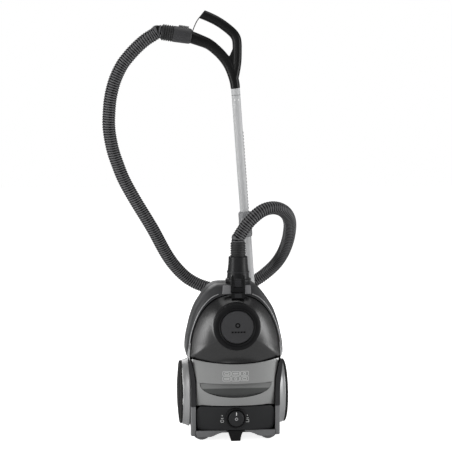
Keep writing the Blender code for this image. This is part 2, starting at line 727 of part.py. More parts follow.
def make_park_bracket():
    """Slotted block on the underside that takes the wand's parking hook."""
    middle = wand_at(HOOK_Z)
    base_y = BACK_Y + GAP
    bracket = block("park_bracket", (middle.x - 17, base_y, HOOK_Z - 26),
                    (middle.x + 17, base_y + 18, HOOK_Z + 4), "dark_panel", bevel=1.5)
    slot = block("park_slot", (middle.x - 9, base_y + 5, HOOK_Z - 30),
                 (middle.x + 9, base_y + 12, HOOK_Z + 12), "dark_panel")
    cut(bracket, slot)
    neck = block("park_neck", (middle.x - 5, base_y + 8, HOOK_Z - 30),
                 (middle.x + 5, base_y + 24, HOOK_Z + 12), "dark_panel")
    return cut(bracket, neck)


# ---- wand -----------------------------------------------------------------------------------


def make_lower_wand(release):
    foot, top = wand_at(96), wand_at(COLLAR_BOTTOM - GAP)
    pipe("wand_lower_tube", [foot, top], LOWER_TUBE_R, LOWER_TUBE_R - TUBE_WALL, 24,
         "aluminium")
    collar_foot, collar_head = wand_at(COLLAR_BOTTOM), wand_at(COLLAR_TOP)
    length = (collar_head - collar_foot).length
    bore = UPPER_TUBE_R + 0.5
    turned("wand_collar", [(bore, 0), (COLLAR_R - 2, 0), (COLLAR_R, 3), (COLLAR_R, length * 0.6),
                           (COLLAR_R - 1.5, length - 4), (COLLAR_R - 4, length), (bore, length)],
           collar_foot, WAND_AXIS, "collar_grey", 24)
    middle = wand_at((COLLAR_BOTTOM + COLLAR_TOP) / 2 + 6)
    ends = [wand_at(middle.z + step) - Vector((0, COLLAR_R + GAP, 0)) for step in (-13, 13)]
    corners = [(-5.5, -5), (5.5, -5), (5.5, 0), (-5.5, 0)]
    button = loft("collar_button", [[end + Vector((x, y, 0)) for x, y in corners]
                                    for end in ends], "dark_panel", parent=release)
    round_edges(button, 1.2)


def make_park_hook():
    """Clip round the lower tube with a plate that drops into the bracket's slot."""
    middle = wand_at(HOOK_Z)
    low, high = wand_at(HOOK_Z - 14), wand_at(HOOK_Z + 14)
    hook = pipe("park_hook", [low, high], LOWER_TUBE_R + 4.2, LOWER_TUBE_R + GAP, 24,
                "dark_panel")
    slot_y = BACK_Y + GAP + 5
    arm = block("hook_arm", (middle.x - 4, slot_y + 1.5, HOOK_Z - 12),
                (middle.x + 4, middle.y - LOWER_TUBE_R - 1.5, HOOK_Z + 12), "dark_panel")
    plate = block("hook_plate", (middle.x - 7.5, slot_y + 1, HOOK_Z - 20),
                  (middle.x + 7.5, slot_y + 6, HOOK_Z + 12), "dark_panel")
    join(arm, plate)
    return join(hook, arm)


def make_upper_wand(slider):
    low, high = wand_at(COLLAR_BOTTOM - 62), wand_at(WAND_HEAD.z - 1)
    pipe("wand_upper_tube", [low, high], UPPER_TUBE_R, UPPER_TUBE_R - TUBE_WALL, 24,
         "aluminium", slider)


def make_grip(slider):
    handle_y = GRIP_Y

    def line(route, count):
        return smooth_line([(x, handle_y, z) for x, z in route], count)

    points = line(GRIP_LINE, 12)
    points.append(Vector((17.2, handle_y + 1.5, 926)))
    grip = loft("grip", tube_rings(points, GRIP_RADII, 16), "black_plastic", parent=slider)
    bar_points = line(BAR_LINE, 14)
    rings = tube_rings(bar_points, BAR_R, 14)
    along = (bar_points[1] - bar_points[0]).normalized()
    upward = Vector((0, 1, 0)).cross(along)
    if upward.z < 0:
        upward = -upward
    slant = math.tan(math.radians(BAR_TIP_SLANT))
    rings[0] = [point + along * (point - bar_points[0]).dot(upward) * slant
                for point in rings[0]]
    join(grip, loft("grip_bar", rings, "black_plastic", parent=slider))
    web = prism("grip_web", GRIP_WEB, handle_y - 9, handle_y + 9, "black_plastic")
    return join(grip, web)


def make_grip_strut(slider):
    """Thin hoop that closes the hand opening between the bar's end and the cuff."""
    route = [(-84, GRIP_Y, 1110.4), (-90, GRIP_Y, 1101), (-96.5, GRIP_Y, 1088),
             (-99.5, GRIP_Y, 1079.5)]
    return loft("grip_strut", tube_rings(smooth_line(route, 7), 1.8, 8), "black_plastic",
                parent=slider)


def make_cuff(slider):
    start, along, length = CUFF_START, CUFF_AXIS, CUFF_AXIS.length
    turned("hose_cuff", [(10, 0), (20, 0), (20.8, 3), (21.6, length - 4), (20.6, length),
                         (10, length)], start, along, "dark_panel", 24, slider)
    turned("cuff_sleeve", [(10, length + GAP), (21.8, length + GAP), (21.8, CUFF_LENGTH),
                           (10, CUFF_LENGTH)], start, along, "black_rubber", 24, slider)
    run = along.normalized()
    upward = (Vector((0, 0, 1)) - run * run.z).normalized()
    across = run.cross(upward)
    rings = [[start + run * reach + upward * high + across * wide
              for wide, high in ((-6, 22), (6, 22), (6, 24.6), (5, 25.4), (-5, 25.4), (-6, 24.6))]
             for reach in (6, 33)]
    loft("suction_slider", rings, "collar_grey", parent=slider)


# ---- floor head --------------------------------------------------------------------------------


def make_neck():
    """Elbow from the wand's lower end back to the floor head's pivot barrel."""
    top = wand_at(95.4)
    route = [top, wand_at(80), (83.4, 156, 62), (82, 170, 43), (80.6, 186, 31),
             (80, 200, PIVOT_Z + 1)]
    neck = loft("head_neck", tube_rings(smooth_line(route, 10), 15.5, 16), "dark_panel")
    barrel = turned("pivot_barrel", [(0, -21), (14, -21), (14, 21), (0, 21)],
                    (HEAD_X, PIVOT_Y, PIVOT_Z), (1, 0, 0), "dark_panel", 24)
    return join(neck, barrel)


def make_floor_head(tilt):
    """Wide low head with a notch for the neck and a suction slot along its underside."""
    profile = [(HEAD_REAR_Y - 6, 8), (HEAD_REAR_Y - 2, 3.3), (HEAD_FRONT_Y - 10, 3.3),
               (HEAD_FRONT_Y, 8), (HEAD_FRONT_Y - 3, 20), (HEAD_FRONT_Y - 26, 31),
               (HEAD_REAR_Y + 26, HEAD_TOP), (HEAD_REAR_Y, 30)]
    head = prism("floor_head", profile, HEAD_X - HEAD_HALF, HEAD_X + HEAD_HALF, "dark_panel",
                 "YZ", tilt)
    notch = turned("neck_notch", [(0, -22), (18, -22), (18, 22), (0, 22)],
                   (HEAD_X, PIVOT_Y, PIVOT_Z), (1, 0, 0), "dark_panel", 24, tilt)
    cut(head, notch)
    cut(head, block("notch_mouth", (HEAD_X - 22, HEAD_REAR_Y - 30, -5),
                    (HEAD_X + 22, PIVOT_Y, 60), "dark_panel", tilt))
    cut(head, block("suction_slot", (HEAD_X - 88, HEAD_FRONT_Y - 38, -5),
                    (HEAD_X + 88, HEAD_FRONT_Y - 20, 16), "dark_panel", tilt))
    return head


def make_sole(tilt):
    """Steel glide plate under the head, cut open along the suction slot."""
    low, high = HEAD_X - HEAD_HALF + 4, HEAD_X + HEAD_HALF - 4
    sole = block("sole_plate", (low, HEAD_REAR_Y + 24, 0), (high, HEAD_FRONT_Y - 10, 3),
                 "steel", tilt)
    return cut(sole, block("sole_slot", (HEAD_X - 88, HEAD_FRONT_Y - 38, -5),
                           (HEAD_X + 88, HEAD_FRONT_Y - 20, 8), "steel", tilt))


def make_brush(tilt):
    block("brush_strip", (HEAD_X - 86, HEAD_FRONT_Y - 9.6, 0.3),
          (HEAD_X + 86, HEAD_FRONT_Y - 4, 3), "bristle", tilt)


def make_pedal(rocker):
    """Foot pedal that lies on the head's sloping top and rocks about its rear edge."""
    rear, front = PEDAL_REAR_Y, PEDAL_REAR_Y + 20
    profile = [(rear, 35.9), (front, 33.0), (front, 37.0), (rear, 40.2)]
    pedal = prism("head_pedal", profile, HEAD_X - 24, HEAD_X + 24, "satin_grey", "YZ", rocker)
    round_edges(pedal, 1.2)


def main():
    clear_scene()
    make_lower_shell()
    make_silver_cover()
    make_recess_cup()
    make_control_panel()
    make_dial(pivot("dial_pivot", (0, PANEL_FRONT_Y, KNOB_Z)))
    make_rim_piping()
    make_side_trims()
    make_rear_foot()
    make_rear_pads()
    lid_pivot = pivot("lid_pivot", (0, LOWER_FRONT_Y, HINGE_Z))
    make_lid(lid_pivot)
    make_lid_cap(pivot("cap_pivot", (0, LID_FRONT_Y, CAP_Z)))
    make_nose()
    make_latch_button()
    make_inlet()
    make_wheel(1, "right")
    make_wheel(-1, "left")
    make_castor()
    make_dust_bin()
    make_motor_group()
    make_electrics()
    make_exhaust()
    make_park_bracket()
    make_hose()
    make_lower_wand(pivot("collar_release", wand_at(COLLAR_BOTTOM)))
    make_park_hook()
    slider = pivot("wand_slider", wand_at(COLLAR_TOP))
    make_upper_wand(slider)
    make_grip(slider)
    make_grip_strut(slider)
    make_cuff(slider)
    make_neck()
    tilt = pivot("head_pivot", (HEAD_X, PIVOT_Y, PIVOT_Z))
    make_floor_head(tilt)
    make_sole(tilt)
    make_brush(tilt)
    make_pedal(pivot("pedal_pivot", (HEAD_X, PEDAL_REAR_Y, 36.0)))


main()
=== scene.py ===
"""Looks of the parked bagless cylinder vacuum cleaner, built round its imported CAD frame.

Lengths are in millimetres in the tables below, and in metres once an object is made.
"""
import bpy
import bmesh
import math
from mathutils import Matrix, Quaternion, Vector


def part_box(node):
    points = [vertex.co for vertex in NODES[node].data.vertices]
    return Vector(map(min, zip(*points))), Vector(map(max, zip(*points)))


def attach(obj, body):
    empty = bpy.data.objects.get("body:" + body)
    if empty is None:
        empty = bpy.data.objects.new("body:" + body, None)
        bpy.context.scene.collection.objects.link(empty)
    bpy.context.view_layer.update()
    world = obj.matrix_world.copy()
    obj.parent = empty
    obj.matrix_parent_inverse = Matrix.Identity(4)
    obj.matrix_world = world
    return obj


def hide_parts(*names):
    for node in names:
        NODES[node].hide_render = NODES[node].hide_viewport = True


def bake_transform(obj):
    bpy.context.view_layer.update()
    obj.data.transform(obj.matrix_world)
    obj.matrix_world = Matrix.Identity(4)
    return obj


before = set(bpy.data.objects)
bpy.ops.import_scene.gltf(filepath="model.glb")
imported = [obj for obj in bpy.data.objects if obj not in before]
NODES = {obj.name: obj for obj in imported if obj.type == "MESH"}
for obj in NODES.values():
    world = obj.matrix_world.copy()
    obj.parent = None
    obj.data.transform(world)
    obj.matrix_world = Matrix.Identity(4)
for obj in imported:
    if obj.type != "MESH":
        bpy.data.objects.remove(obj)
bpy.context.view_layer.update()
MM = 0.001

# ---- camera -------------------------------------------------------------------------------
CAMERA_AZIMUTH = -5.0
CAMERA_ELEVATION = 5.0
CAMERA_PLACE = (-0.2910, -3.1260, 0.8320)
CAMERA_LENS = 94.4
AMBIENT = 0.28

# ---- shapes shared with the CAD model, in millimetres ------------------------------------------
BODY_MID_Z = 205.0
SHELL_OUTLINE = [
    (0, 408), (43, 408), (62, 400), (76, 386), (90, 366), (103, 344), (114, 314), (120.5, 288),
    (126, 262), (128.5, 237), (127, 222), (119, 210), (112, 198), (110, 180), (110, 100),
    (110, 30), (103, 14), (0, 12),
]
MOUTH_OUTLINE = [
    (0, 387), (42, 378), (60, 369), (73, 358), (84, 345), (95, 328.5), (105, 306), (111, 287),
    (116, 262), (118.5, 237), (119, 224), (118, 211), (111, 190), (105, 160), (105, 100),
    (105, 34), (100, 26.5), (0, 26),
]
LID_OUTLINE = [
    (0, 385), (41, 376), (58.5, 367.2), (71.4, 356.5), (82.3, 343.8), (93.3, 327.6),
    (103.3, 305.4), (109.3, 286.6), (114.3, 261.8), (116.8, 237), (117.2, 225), (112, 219.5),
    (84, 214.5), (45, 210.5), (0, 209),
]
HOSE_ROUTE = [
    (-205, 98, 1066.5), (-224, 98, 1054.5), (-245, 100, 1037), (-269, 101, 1012),
    (-291, 103, 983), (-309, 105, 945), (-320, 108, 905), (-325, 112, 865), (-326, 118, 815),
    (-317, 128, 760), (-303, 138, 716), (-286, 148, 673), (-257, 160, 619), (-208, 178, 536),
    (-170, 200, 464), (-140, 215, 421), (-106, 224, 388), (-66, 227, 367), (-22, 226, 357),
    (22, 224, 357), (60, 221, 367), (95, 214, 388), (122, 203, 411), (143, 184, 437),
    (157, 158, 467), (165, 130, 500), (167, 100, 533), (163, 70, 563), (150, 43, 586),
    (130, 20, 600), (106, 2, 605), (81, -11, 600), (59, -19, 586), (39.5, -22, 567),
    (22.5, -22.3, 543),
]
CAP_Z = 308.0
LID_FRONT_Y = -127.0
LID_EDGE_Y = -75.0
LOWER_FRONT_Y = -112.0
LOWER_BEND = 30.0
BAR_LINE = [
    (-73, 1122.4), (-52, 1114), (-30, 1103), (-8.7, 1088.8), (10, 1073), (18.8, 1060),
    (21.6, 1045), (21.8, 1028), (21.6, 1008), (20, 988), (17, 970), (14, 955),
]
GRIP_WEB = [
    (2, 1014), (12, 1036), (26, 1026), (30, 1000), (26, 972), (18, 958), (4, 972), (-8, 996),
]
BAR_R = 12.6
BAR_TIP_SLANT = 18.0
WAND_FOOT = Vector((83.0, 150.0, 90.0))
WAND_HEAD = Vector((17.5, 105.0, 925.0))
WAND_AXIS = (WAND_HEAD - WAND_FOOT).normalized()
PIVOT_Y = 208.0
PIVOT_Z = 24.0
CUFF_START = Vector((-106.6, 102.0, 1063.4))
CUFF_AXIS = Vector((-47.5, -3.0, 6.5))
INLET = Vector((12.5, -22.0, 0.0))
HOSE_R = 18.0
HOSE_PITCH = 6.6
HOSE_RINGS_PER_RIB = 6
HOSE_SIDES = 28
RIM_Y = -62.0
RIM_SCALE = 0.985
FLOOR_REACH = 12000
# The floor's glow on the object, and the glow that the camera sees.
FLOOR_GLOW = 0.1
FLOOR_GLOW_SEEN = 0.85
# Each lamp's name, place, aimed height, width, power and height.
LAMPS = [
    ("left_box", (-2.1, -0.65, 0.8), 0.5, 0.85, 34, 1.6),
    ("right_box", (2.1, -0.65, 0.8), 0.5, 0.85, 34, 1.6),
    ("front_box", (-1.2, -3.6, 2.2), 0.5, 1.2, 26, 1.2),
    ("top_box", (0.1, 0.2, 2.9), 0.3, 1.8, 22, 1.8),
    ("back_box", (-0.6, 2.8, 1.6), 0.5, 1.6, 20, 1.6),
]


# ---- materials --------------------------------------------------------------------------------


class Look:
    """A Principled material whose colour, roughness and bump come from noise in object space."""

    def __init__(self, name, roughness, metallic=0.0, coat=0.0, specular=0.5):
        self.material = bpy.data.materials.new(name)
        self.material.use_nodes = True
        self.tree = self.material.node_tree
        self.shader = self.tree.nodes["Principled BSDF"]
        self.shader.inputs["Roughness"].default_value = roughness
        self.shader.inputs["Metallic"].default_value = metallic
        self.shader.inputs["Coat Weight"].default_value = coat
        self.shader.inputs["Coat Roughness"].default_value = 0.06
        self.shader.inputs["Specular IOR Level"].default_value = specular
        self.place = self.tree.nodes.new("ShaderNodeTexCoord").outputs["Object"]
        self.height = None

    def link(self, out, into):
        self.tree.links.new(out, into)

    def scaled(self, scale):
        mapping = self.tree.nodes.new("ShaderNodeMapping")
        mapping.inputs["Scale"].default_value = scale
        self.link(self.place, mapping.inputs["Vector"])
        return mapping.outputs["Vector"]

    def noise(self, scale, stretch=(1, 1, 1), detail=3.0, rough=0.55):
        node = self.tree.nodes.new("ShaderNodeTexNoise")
        node.inputs["Scale"].default_value = scale
        node.inputs["Detail"].default_value = detail
        node.inputs["Roughness"].default_value = rough
        self.link(self.scaled(stretch), node.inputs["Vector"])
        return node.outputs["Fac"]

    def cells(self, scale, stretch=(1, 1, 1)):
        node = self.tree.nodes.new("ShaderNodeTexVoronoi")
        node.inputs["Scale"].default_value = scale
        self.link(self.scaled(stretch), node.inputs["Vector"])
        return node.outputs["Distance"]

    def spread(self, value, low, high, from_low=0.3, from_high=0.7):
        node = self.tree.nodes.new("ShaderNodeMapRange")
        node.inputs["From Min"].default_value = from_low
        node.inputs["From Max"].default_value = from_high
        node.inputs["To Min"].default_value = low
        node.inputs["To Max"].default_value = high
        self.link(value, node.inputs["Value"])
        return node.outputs["Result"]

    def blend(self, value, first, second):
        node = self.tree.nodes.new("ShaderNodeMix")
        node.data_type = "RGBA"
        for socket, colour in ((node.inputs[6], first), (node.inputs[7], second)):
            if isinstance(colour, tuple):
                socket.default_value = (*colour, 1.0)
            else:
                self.link(colour, socket)
        self.link(value, node.inputs[0])
        return node.outputs[2]

    def colour(self, dark, light, value):
        mixed = self.blend(value, dark, light)
        self.link(mixed, self.shader.inputs["Base Color"])
        return mixed

    def rough(self, value, low, high):
        self.link(self.spread(value, low, high), self.shader.inputs["Roughness"])

    def bump(self, value, strength, depth):
        """Adds a bump over the one before; depth is in millimetres."""
        node = self.tree.nodes.new("ShaderNodeBump")
        node.inputs["Strength"].default_value = strength
        node.inputs["Distance"].default_value = depth * MM
        self.link(value, node.inputs["Height"])
        if self.height:
            self.link(self.height, node.inputs["Normal"])
        self.height = node.outputs["Normal"]
        self.link(self.height, self.shader.inputs["Normal"])


def moulded(name, colour, roughness, grain=2600, depth=0.08, spread=0.12, specular=0.4):
    """Moulded plastic: fine spark-eroded grain, faint mottling and a slightly uneven gloss."""
    look = Look(name, roughness, specular=specular)
    fine = look.noise(grain, detail=2.0)
    broad = look.noise(18, detail=4.0)
    dark = tuple(c * (1 - spread) for c in colour)
    light = tuple(c * (1 + spread) for c in colour)
    look.colour(dark, light, look.spread(broad, 0, 1))
    look.rough(broad, roughness * 0.9, roughness * 1.12)
    look.bump(fine, 0.5, depth)
    return look.material


def shaded_below_level(name, low, high, level):
    """Moulded plastic that is darker below a level than above it, both faintly mottled; the darker
    part is painted shade in the lower finger recess.
    """
    look = Look(name, 0.5, specular=0.3)
    place = look.tree.nodes.new("ShaderNodeNewGeometry").outputs["Position"]
    split = look.tree.nodes.new("ShaderNodeSeparateXYZ")
    look.link(place, split.inputs["Vector"])
    above = look.spread(split.outputs["Z"], 0, 1, level - 0.0012, level + 0.0012)
    mottle = look.spread(look.noise(18, detail=4.0), 0, 1)
    dark = look.blend(mottle, tuple(c * 0.88 for c in low), tuple(c * 1.12 for c in low))
    light = look.blend(mottle, tuple(c * 0.93 for c in high), tuple(c * 1.07 for c in high))
    look.colour(dark, light, above)
    look.rough(mottle, 0.46, 0.58)
    look.bump(look.noise(2400, detail=2.0), 0.5, 0.05)
    return look.material


def glossy(name, colour, roughness=0.09, coat=0.6, specular=0.5):
    """Polished smoked plastic with a faint orange-peel ripple and light handling haze."""
    look = Look(name, roughness, 0.0, coat, specular)
    haze = look.noise(9, detail=5.0)
    peel = look.noise(160, detail=1.0)
    dust = look.noise(900, detail=2.0)
    look.colour(colour, tuple(c * 1.5 for c in colour), look.spread(haze, 0, 1))
    look.rough(dust, roughness * 0.8, roughness * 1.5)
    look.bump(peel, 0.08, 0.06)
    return look.material


def painted_silver(name, colour, roughness=0.34):
    """Metallic paint: fine flakes under a soft clear coat."""
    look = Look(name, roughness, 0.55, 0.25)
    flake = look.cells(5200)
    broad = look.noise(7, detail=3.0)
    mixed = look.blend(look.spread(flake, 0, 1, 0.1, 0.6), tuple(c * 0.86 for c in colour),
                       tuple(min(1, c * 1.12) for c in colour))
    shade = look.blend(look.spread(broad, 0, 0.25), mixed, tuple(c * 0.8 for c in colour))
    look.link(shade, look.shader.inputs["Base Color"])
    look.rough(flake, roughness * 0.85, roughness * 1.2)
    look.bump(flake, 0.15, 0.02)
    return look.material


def drawn_metal(name, colour, roughness, stretch=(1, 1, 0.02), scale=1800, metallic=1.0):
    """Drawn or brushed metal: long fine scratches along one axis."""
    look = Look(name, roughness, metallic)
    lines = look.noise(scale, stretch, detail=4.0)
    look.colour(tuple(c * 0.86 for c in colour), colour, look.spread(lines, 0, 1))
    look.rough(lines, roughness * 0.75, roughness * 1.35)
    look.bump(lines, 0.12, 0.03)
    look.shader.inputs["Anisotropic"].default_value = 0.4
    return look.material


def rubber(name, colour, roughness=0.78):
    look = Look(name, roughness, 0.0, specular=0.35)
    fine = look.noise(1500, detail=3.0)
    dust = look.noise(35, detail=5.0)
    look.colour(colour, tuple(c * 1.9 + 0.006 for c in colour), look.spread(dust, 0, 1, 0.4, 0.8))
    look.rough(dust, roughness * 0.88, roughness * 1.1)
    look.bump(fine, 0.4, 0.06)
    return look.material


def felt(name, colour):
    look = Look(name, 0.95)
    fibre = look.noise(700, (1, 1, 3), detail=6.0)
    look.colour(tuple(c * 0.7 for c in colour), colour, look.spread(fibre, 0, 1))
    look.bump(fibre, 0.9, 0.4)
    look.shader.inputs["Sheen Weight"].default_value = 0.3
    return look.material


LOOKS = {
    "casing": moulded("casing_graphite", (0.026, 0.0265, 0.028), 0.5, 1100, 0.22, 0.16, 0.3),
    "casing_dark": moulded("casing_dark", (0.022, 0.022, 0.0235), 0.45, 2200, 0.08, specular=0.2),
    "lid": glossy("smoked_gloss", (0.0016, 0.0016, 0.0019), 0.3, 0.0, 0.62),
    "silver": painted_silver("silver_paint", (0.235, 0.238, 0.236)),
    "arch": painted_silver("arch_silver", (0.29, 0.292, 0.295), 0.4),
    # painted shade: the finger recess grey turns darker below 141.5 mm high
    "recess": shaded_below_level("recess_grey_painted_shade", (0.055, 0.057, 0.056), (0.16, 0.163, 0.161), 0.1415),
    "corner": moulded("corner_grey", (0.12, 0.121, 0.124), 0.45, 2400, 0.05, specular=0.3),
    "satin": moulded("satin_grey", (0.13, 0.132, 0.135), 0.45, 2400, 0.05),
    "panel": moulded("panel_dark", (0.015, 0.0155, 0.0165), 0.5, 1900, 0.12, specular=0.22),
    "black": moulded("black_plastic", (0.004, 0.004, 0.0044), 0.42, 2200, 0.06, specular=0.16),
    "ring": moulded("ring_black", (0.0045, 0.0045, 0.005), 0.5, 1200, 0.2, specular=0.12),
    "disc": moulded("disc_grey", (0.034, 0.034, 0.036), 0.5, 1900, 0.1, specular=0.25),
    "grip": moulded("grip_black", (0.004, 0.004, 0.0042), 0.38, 2600, 0.04, specular=0.17),
    "cuff": moulded("cuff_dark", (0.034, 0.034, 0.036), 0.5, 2200, 0.08, specular=0.25),
    "key": moulded("latch_key_grey", (0.018, 0.018, 0.0195), 0.5, 2200, 0.06, specular=0.2),
    "light_grey": moulded("light_grey", (0.145, 0.145, 0.15), 0.45, 2400, 0.05),
    "slider": moulded("slider_grey", (0.14, 0.14, 0.143), 0.45, 2400, 0.05),
    "collar": moulded("collar_grey", (0.17, 0.172, 0.178), 0.45, 2400, 0.05),
    "hose_crest": moulded("hose_crest", (0.075, 0.075, 0.078), 0.45, 900, 0.1, specular=0.25),
    # painted shade: near-black copy of the hose plastic for the grooves between the ribs
    "hose_valley_painted_shade": moulded("hose_valley_painted_shade", (0.002, 0.002, 0.0022), 0.7, 900, 0.05, specular=0.08),
    "sleeve": rubber("sleeve_rubber", (0.010, 0.010, 0.0105), 0.62),
    "rubber": rubber("tyre_rubber", (0.006, 0.006, 0.006)),
    "tube": drawn_metal("anodised_tube", (0.43, 0.435, 0.44), 0.55, metallic=0.15),
    "steel": drawn_metal("brushed_steel", (0.5, 0.5, 0.51), 0.32, (0.02, 1, 1), 1200),
    "copper": drawn_metal("copper_winding", (0.6, 0.26, 0.13), 0.35, (1, 1, 6), 500),
    "felt": felt("filter_felt", (0.72, 0.71, 0.68)),
    "board": moulded("circuit_board", (0.015, 0.09, 0.04), 0.35, 300, 0.1),
    "bristle": felt("bristle_strip", (0.05, 0.05, 0.05)),
    "bin": glossy("bin_smoke", (0.06, 0.06, 0.065), 0.12, 0.2),
    "mark": moulded("mark_white", (0.62, 0.62, 0.62), 0.5, 2000, 0.02),
    "mark_light": moulded("mark_light", (0.50, 0.505, 0.50), 0.4, 2000, 0.02),
    "mark_grey": moulded("mark_grey", (0.34, 0.34, 0.345), 0.5, 2000, 0.02),
    "hub": moulded("hub_black", (0.004, 0.004, 0.0042), 0.7, 1500, 0.1, specular=0.08),
    "connector": moulded("connector_dark", (0.010, 0.010, 0.011), 0.42, 2000, 0.06, specular=0.2),
    # near-black for the cap's printed marks, and painted shadow for the bead in the lid gap
    "mark_and_shadow_dark": moulded("mark_and_shadow_dark", (0.002, 0.002, 0.002), 0.5, 2000, 0.02, specular=0.05),
}

CAD_LOOKS = {
    "steel": ["axle_left", "axle_right", "motor", "sole_plate"],
    "copper": ["motor_winding"],
    "satin": ["fan_housing", "cyclone_cone", "head_pedal"],
    "felt": ["motor_filter", "exhaust_filter"],
    "board": ["circuit_board"],
    "rubber": ["motor_mount", "castor_wheel", "cord_outlet"],
    "black": ["castor_fork", "inlet_socket"],
    "bin": ["dust_bin"],
    "bristle": ["brush_strip"],
    "casing_dark": ["head_neck", "park_hook", "park_bracket", "exhaust_grille"],
}


def dress(node, look):
    mesh = NODES[node].data
    mesh.materials.clear()
    mesh.materials.append(LOOKS[look])


# ---- mesh tools ---------------------------------------------------------------------------------


def piece(name, points, faces, look, sharp=40):
    bm = bmesh.new()
    made = [bm.verts.new(Vector(point) * MM) for point in points]
    for face in faces:
        bm.faces.new([made[index] for index in face])
    bmesh.ops.recalc_face_normals(bm, faces=bm.faces)
    mesh = bpy.data.meshes.new(name)
    bm.to_mesh(mesh)
    bm.free()
    mesh.shade_smooth()
    mesh.set_sharp_from_angle(angle=math.radians(sharp))
    mesh.materials.append(LOOKS[look])
    obj = bpy.data.objects.new(name, mesh)
    bpy.context.collection.objects.link(obj)
    return obj


def skin(name, rings, look, closed=False, sharp=40):
    """A skin over rings of equally many points, with fanned caps unless it is closed."""
    count = len(rings[0])
    points = [point for ring in rings for point in ring]
    faces = []
    for row in range(len(rings) if closed else len(rings) - 1):
        here, there = row * count, (row + 1) % len(rings) * count
        for column in range(count):
            beside = (column + 1) % count
            faces.append([here + column, here + beside, there + beside, there + column])
    if not closed:
        for start in (0, (len(rings) - 1) * count):
            middle = sum((Vector(p) for p in points[start:start + count]), Vector()) / count
            points.append(middle)
            for column in range(count):
                faces.append([start + column, start + (column + 1) % count, len(points) - 1])
    return piece(name, points, faces, look, sharp)


def rounded_profile(profile, radius, steps=3, closed=True):
    """The profile with each sharp corner turned into a short arc."""
    out = []
    count = len(profile)
    for index, point in enumerate(profile):
        p = Vector(point)
        if not closed and index in (0, count - 1):
            out.append(tuple(p))
            continue
        a, b = Vector(profile[index - 1]), Vector(profile[(index + 1) % count])
        to_a, to_b = a - p, b - p
        reach = min(radius, to_a.length * 0.45, to_b.length * 0.45)
        if reach < 0.02 or abs(to_a.angle(to_b) - math.pi) < 0.15:
            out.append(tuple(p))
            continue
        start, end = p + to_a.normalized() * reach, p + to_b.normalized() * reach
        for step in range(steps + 1):
            t = step / steps
            out.append(tuple(start * (1 - t) ** 2 + p * 2 * t * (1 - t) + end * t ** 2))
    return out


def turned(name, profile, base, axis, look, sides=96, fillet=0.6, sharp=40, wobble=None):
    """A closed profile of (radius, height) turned about an axis; radius 0 closes an end."""
    axis = Vector(axis).normalized()
    side = axis.orthogonal().normalized()
    other = axis.cross(side)
    open_ended = profile[0][0] == 0 and profile[-1][0] == 0
    if fillet:
        profile = rounded_profile(profile, fillet, closed=not open_ended)
    points, rows, faces = [], [], []
    for radius, height in profile:
        middle = Vector(base) + axis * height
        if radius < 1e-6:
            rows.append([len(points)])
            points.append(middle)
            continue
        rows.append(list(range(len(points), len(points) + sides)))
        for step in range(sides):
            angle = math.tau * step / sides
            r = radius + (wobble(angle, radius, height) if wobble else 0.0)
            points.append(middle + (side * math.cos(angle) + other * math.sin(angle)) * r)
    if not open_ended:
        rows.append(rows[0])
    for row, following in zip(rows, rows[1:]):
        for step in range(sides):
            beside = (step + 1) % sides
            if len(row) == 1 and len(following) == 1:
                continue
            if len(row) == 1:
                faces.append([row[0], following[step], following[beside]])
            elif len(following) == 1:
                faces.append([row[step], following[0], row[beside]])
            else:
                faces.append([row[step], following[step], following[beside], row[beside]])
    return piece(name, points, faces, look, sharp)


def prism(name, outline, near, far, look, plane="XZ", bevel=0.8, segments=3):
    place = {"XZ": lambda a, b, d: (a, d, b), "XY": lambda a, b, d: (a, b, d),
             "YZ": lambda a, b, d: (d, a, b)}[plane]
    count = len(outline)
    points = [place(a, b, depth) for depth in (near, far) for a, b in outline]
    faces = [[i, (i + 1) % count, count + (i + 1) % count, count + i] for i in range(count)]
    faces += [list(range(count)), list(range(2 * count - 1, count - 1, -1))]
    obj = piece(name, points, faces, look)
    if bevel:
        soften(obj, bevel, segments)
    return obj


def block(name, low, high, look, bevel=0.8):
    outline = [(low[0], low[1]), (high[0], low[1]), (high[0], high[1]), (low[0], high[1])]
    return prism(name, outline, low[2], high[2], look, "XY", bevel)


def soften(obj, width, segments=3, angle=28):
    edge = obj.modifiers.new("soften", "BEVEL")
    edge.width = width * MM
    edge.segments = segments
    edge.limit_method = "ANGLE"
    edge.angle_limit = math.radians(angle)
    edge.harden_normals = True
    return obj


def boolean(obj, other, operation="DIFFERENCE"):
    """Applies the Boolean at once and removes the other object."""
    change = obj.modifiers.new("cut", "BOOLEAN")
    change.operation = operation
    change.solver = "MANIFOLD"
    change.object = other
    graph = bpy.context.evaluated_depsgraph_get()
    made = bpy.data.meshes.new_from_object(obj.evaluated_get(graph))
    obj.modifiers.clear()
    obj.data = made
    made.shade_smooth()
    made.set_sharp_from_angle(angle=math.radians(40))
    bpy.data.objects.remove(other, do_unlink=True)
    return obj


def mirrored(half):
    return list(half) + [(-x, z) for x, z in reversed(half[1:-1])]


def spline(route, t, closed=False):
    """Catmull-Rom point at t spans along the route."""
    count = len(route)
    index = int(math.floor(t))
    part = t - index
    pick = []
    for step in (-1, 0, 1, 2):
        at = index + step
        if closed:
            pick.append(Vector(route[at % count]))
        elif at < 0:
            pick.append(Vector(route[0]) * 2 - Vector(route[1]))
        elif at > count - 1:
            pick.append(Vector(route[-1]) * 2 - Vector(route[-2]))
        else:
            pick.append(Vector(route[at]))
    a, b, c, d = pick
    return 0.5 * (2 * b + (c - a) * part + (2 * a - 5 * b + 4 * c - d) * part ** 2
                  + (3 * b - a - 3 * c + d) * part ** 3)


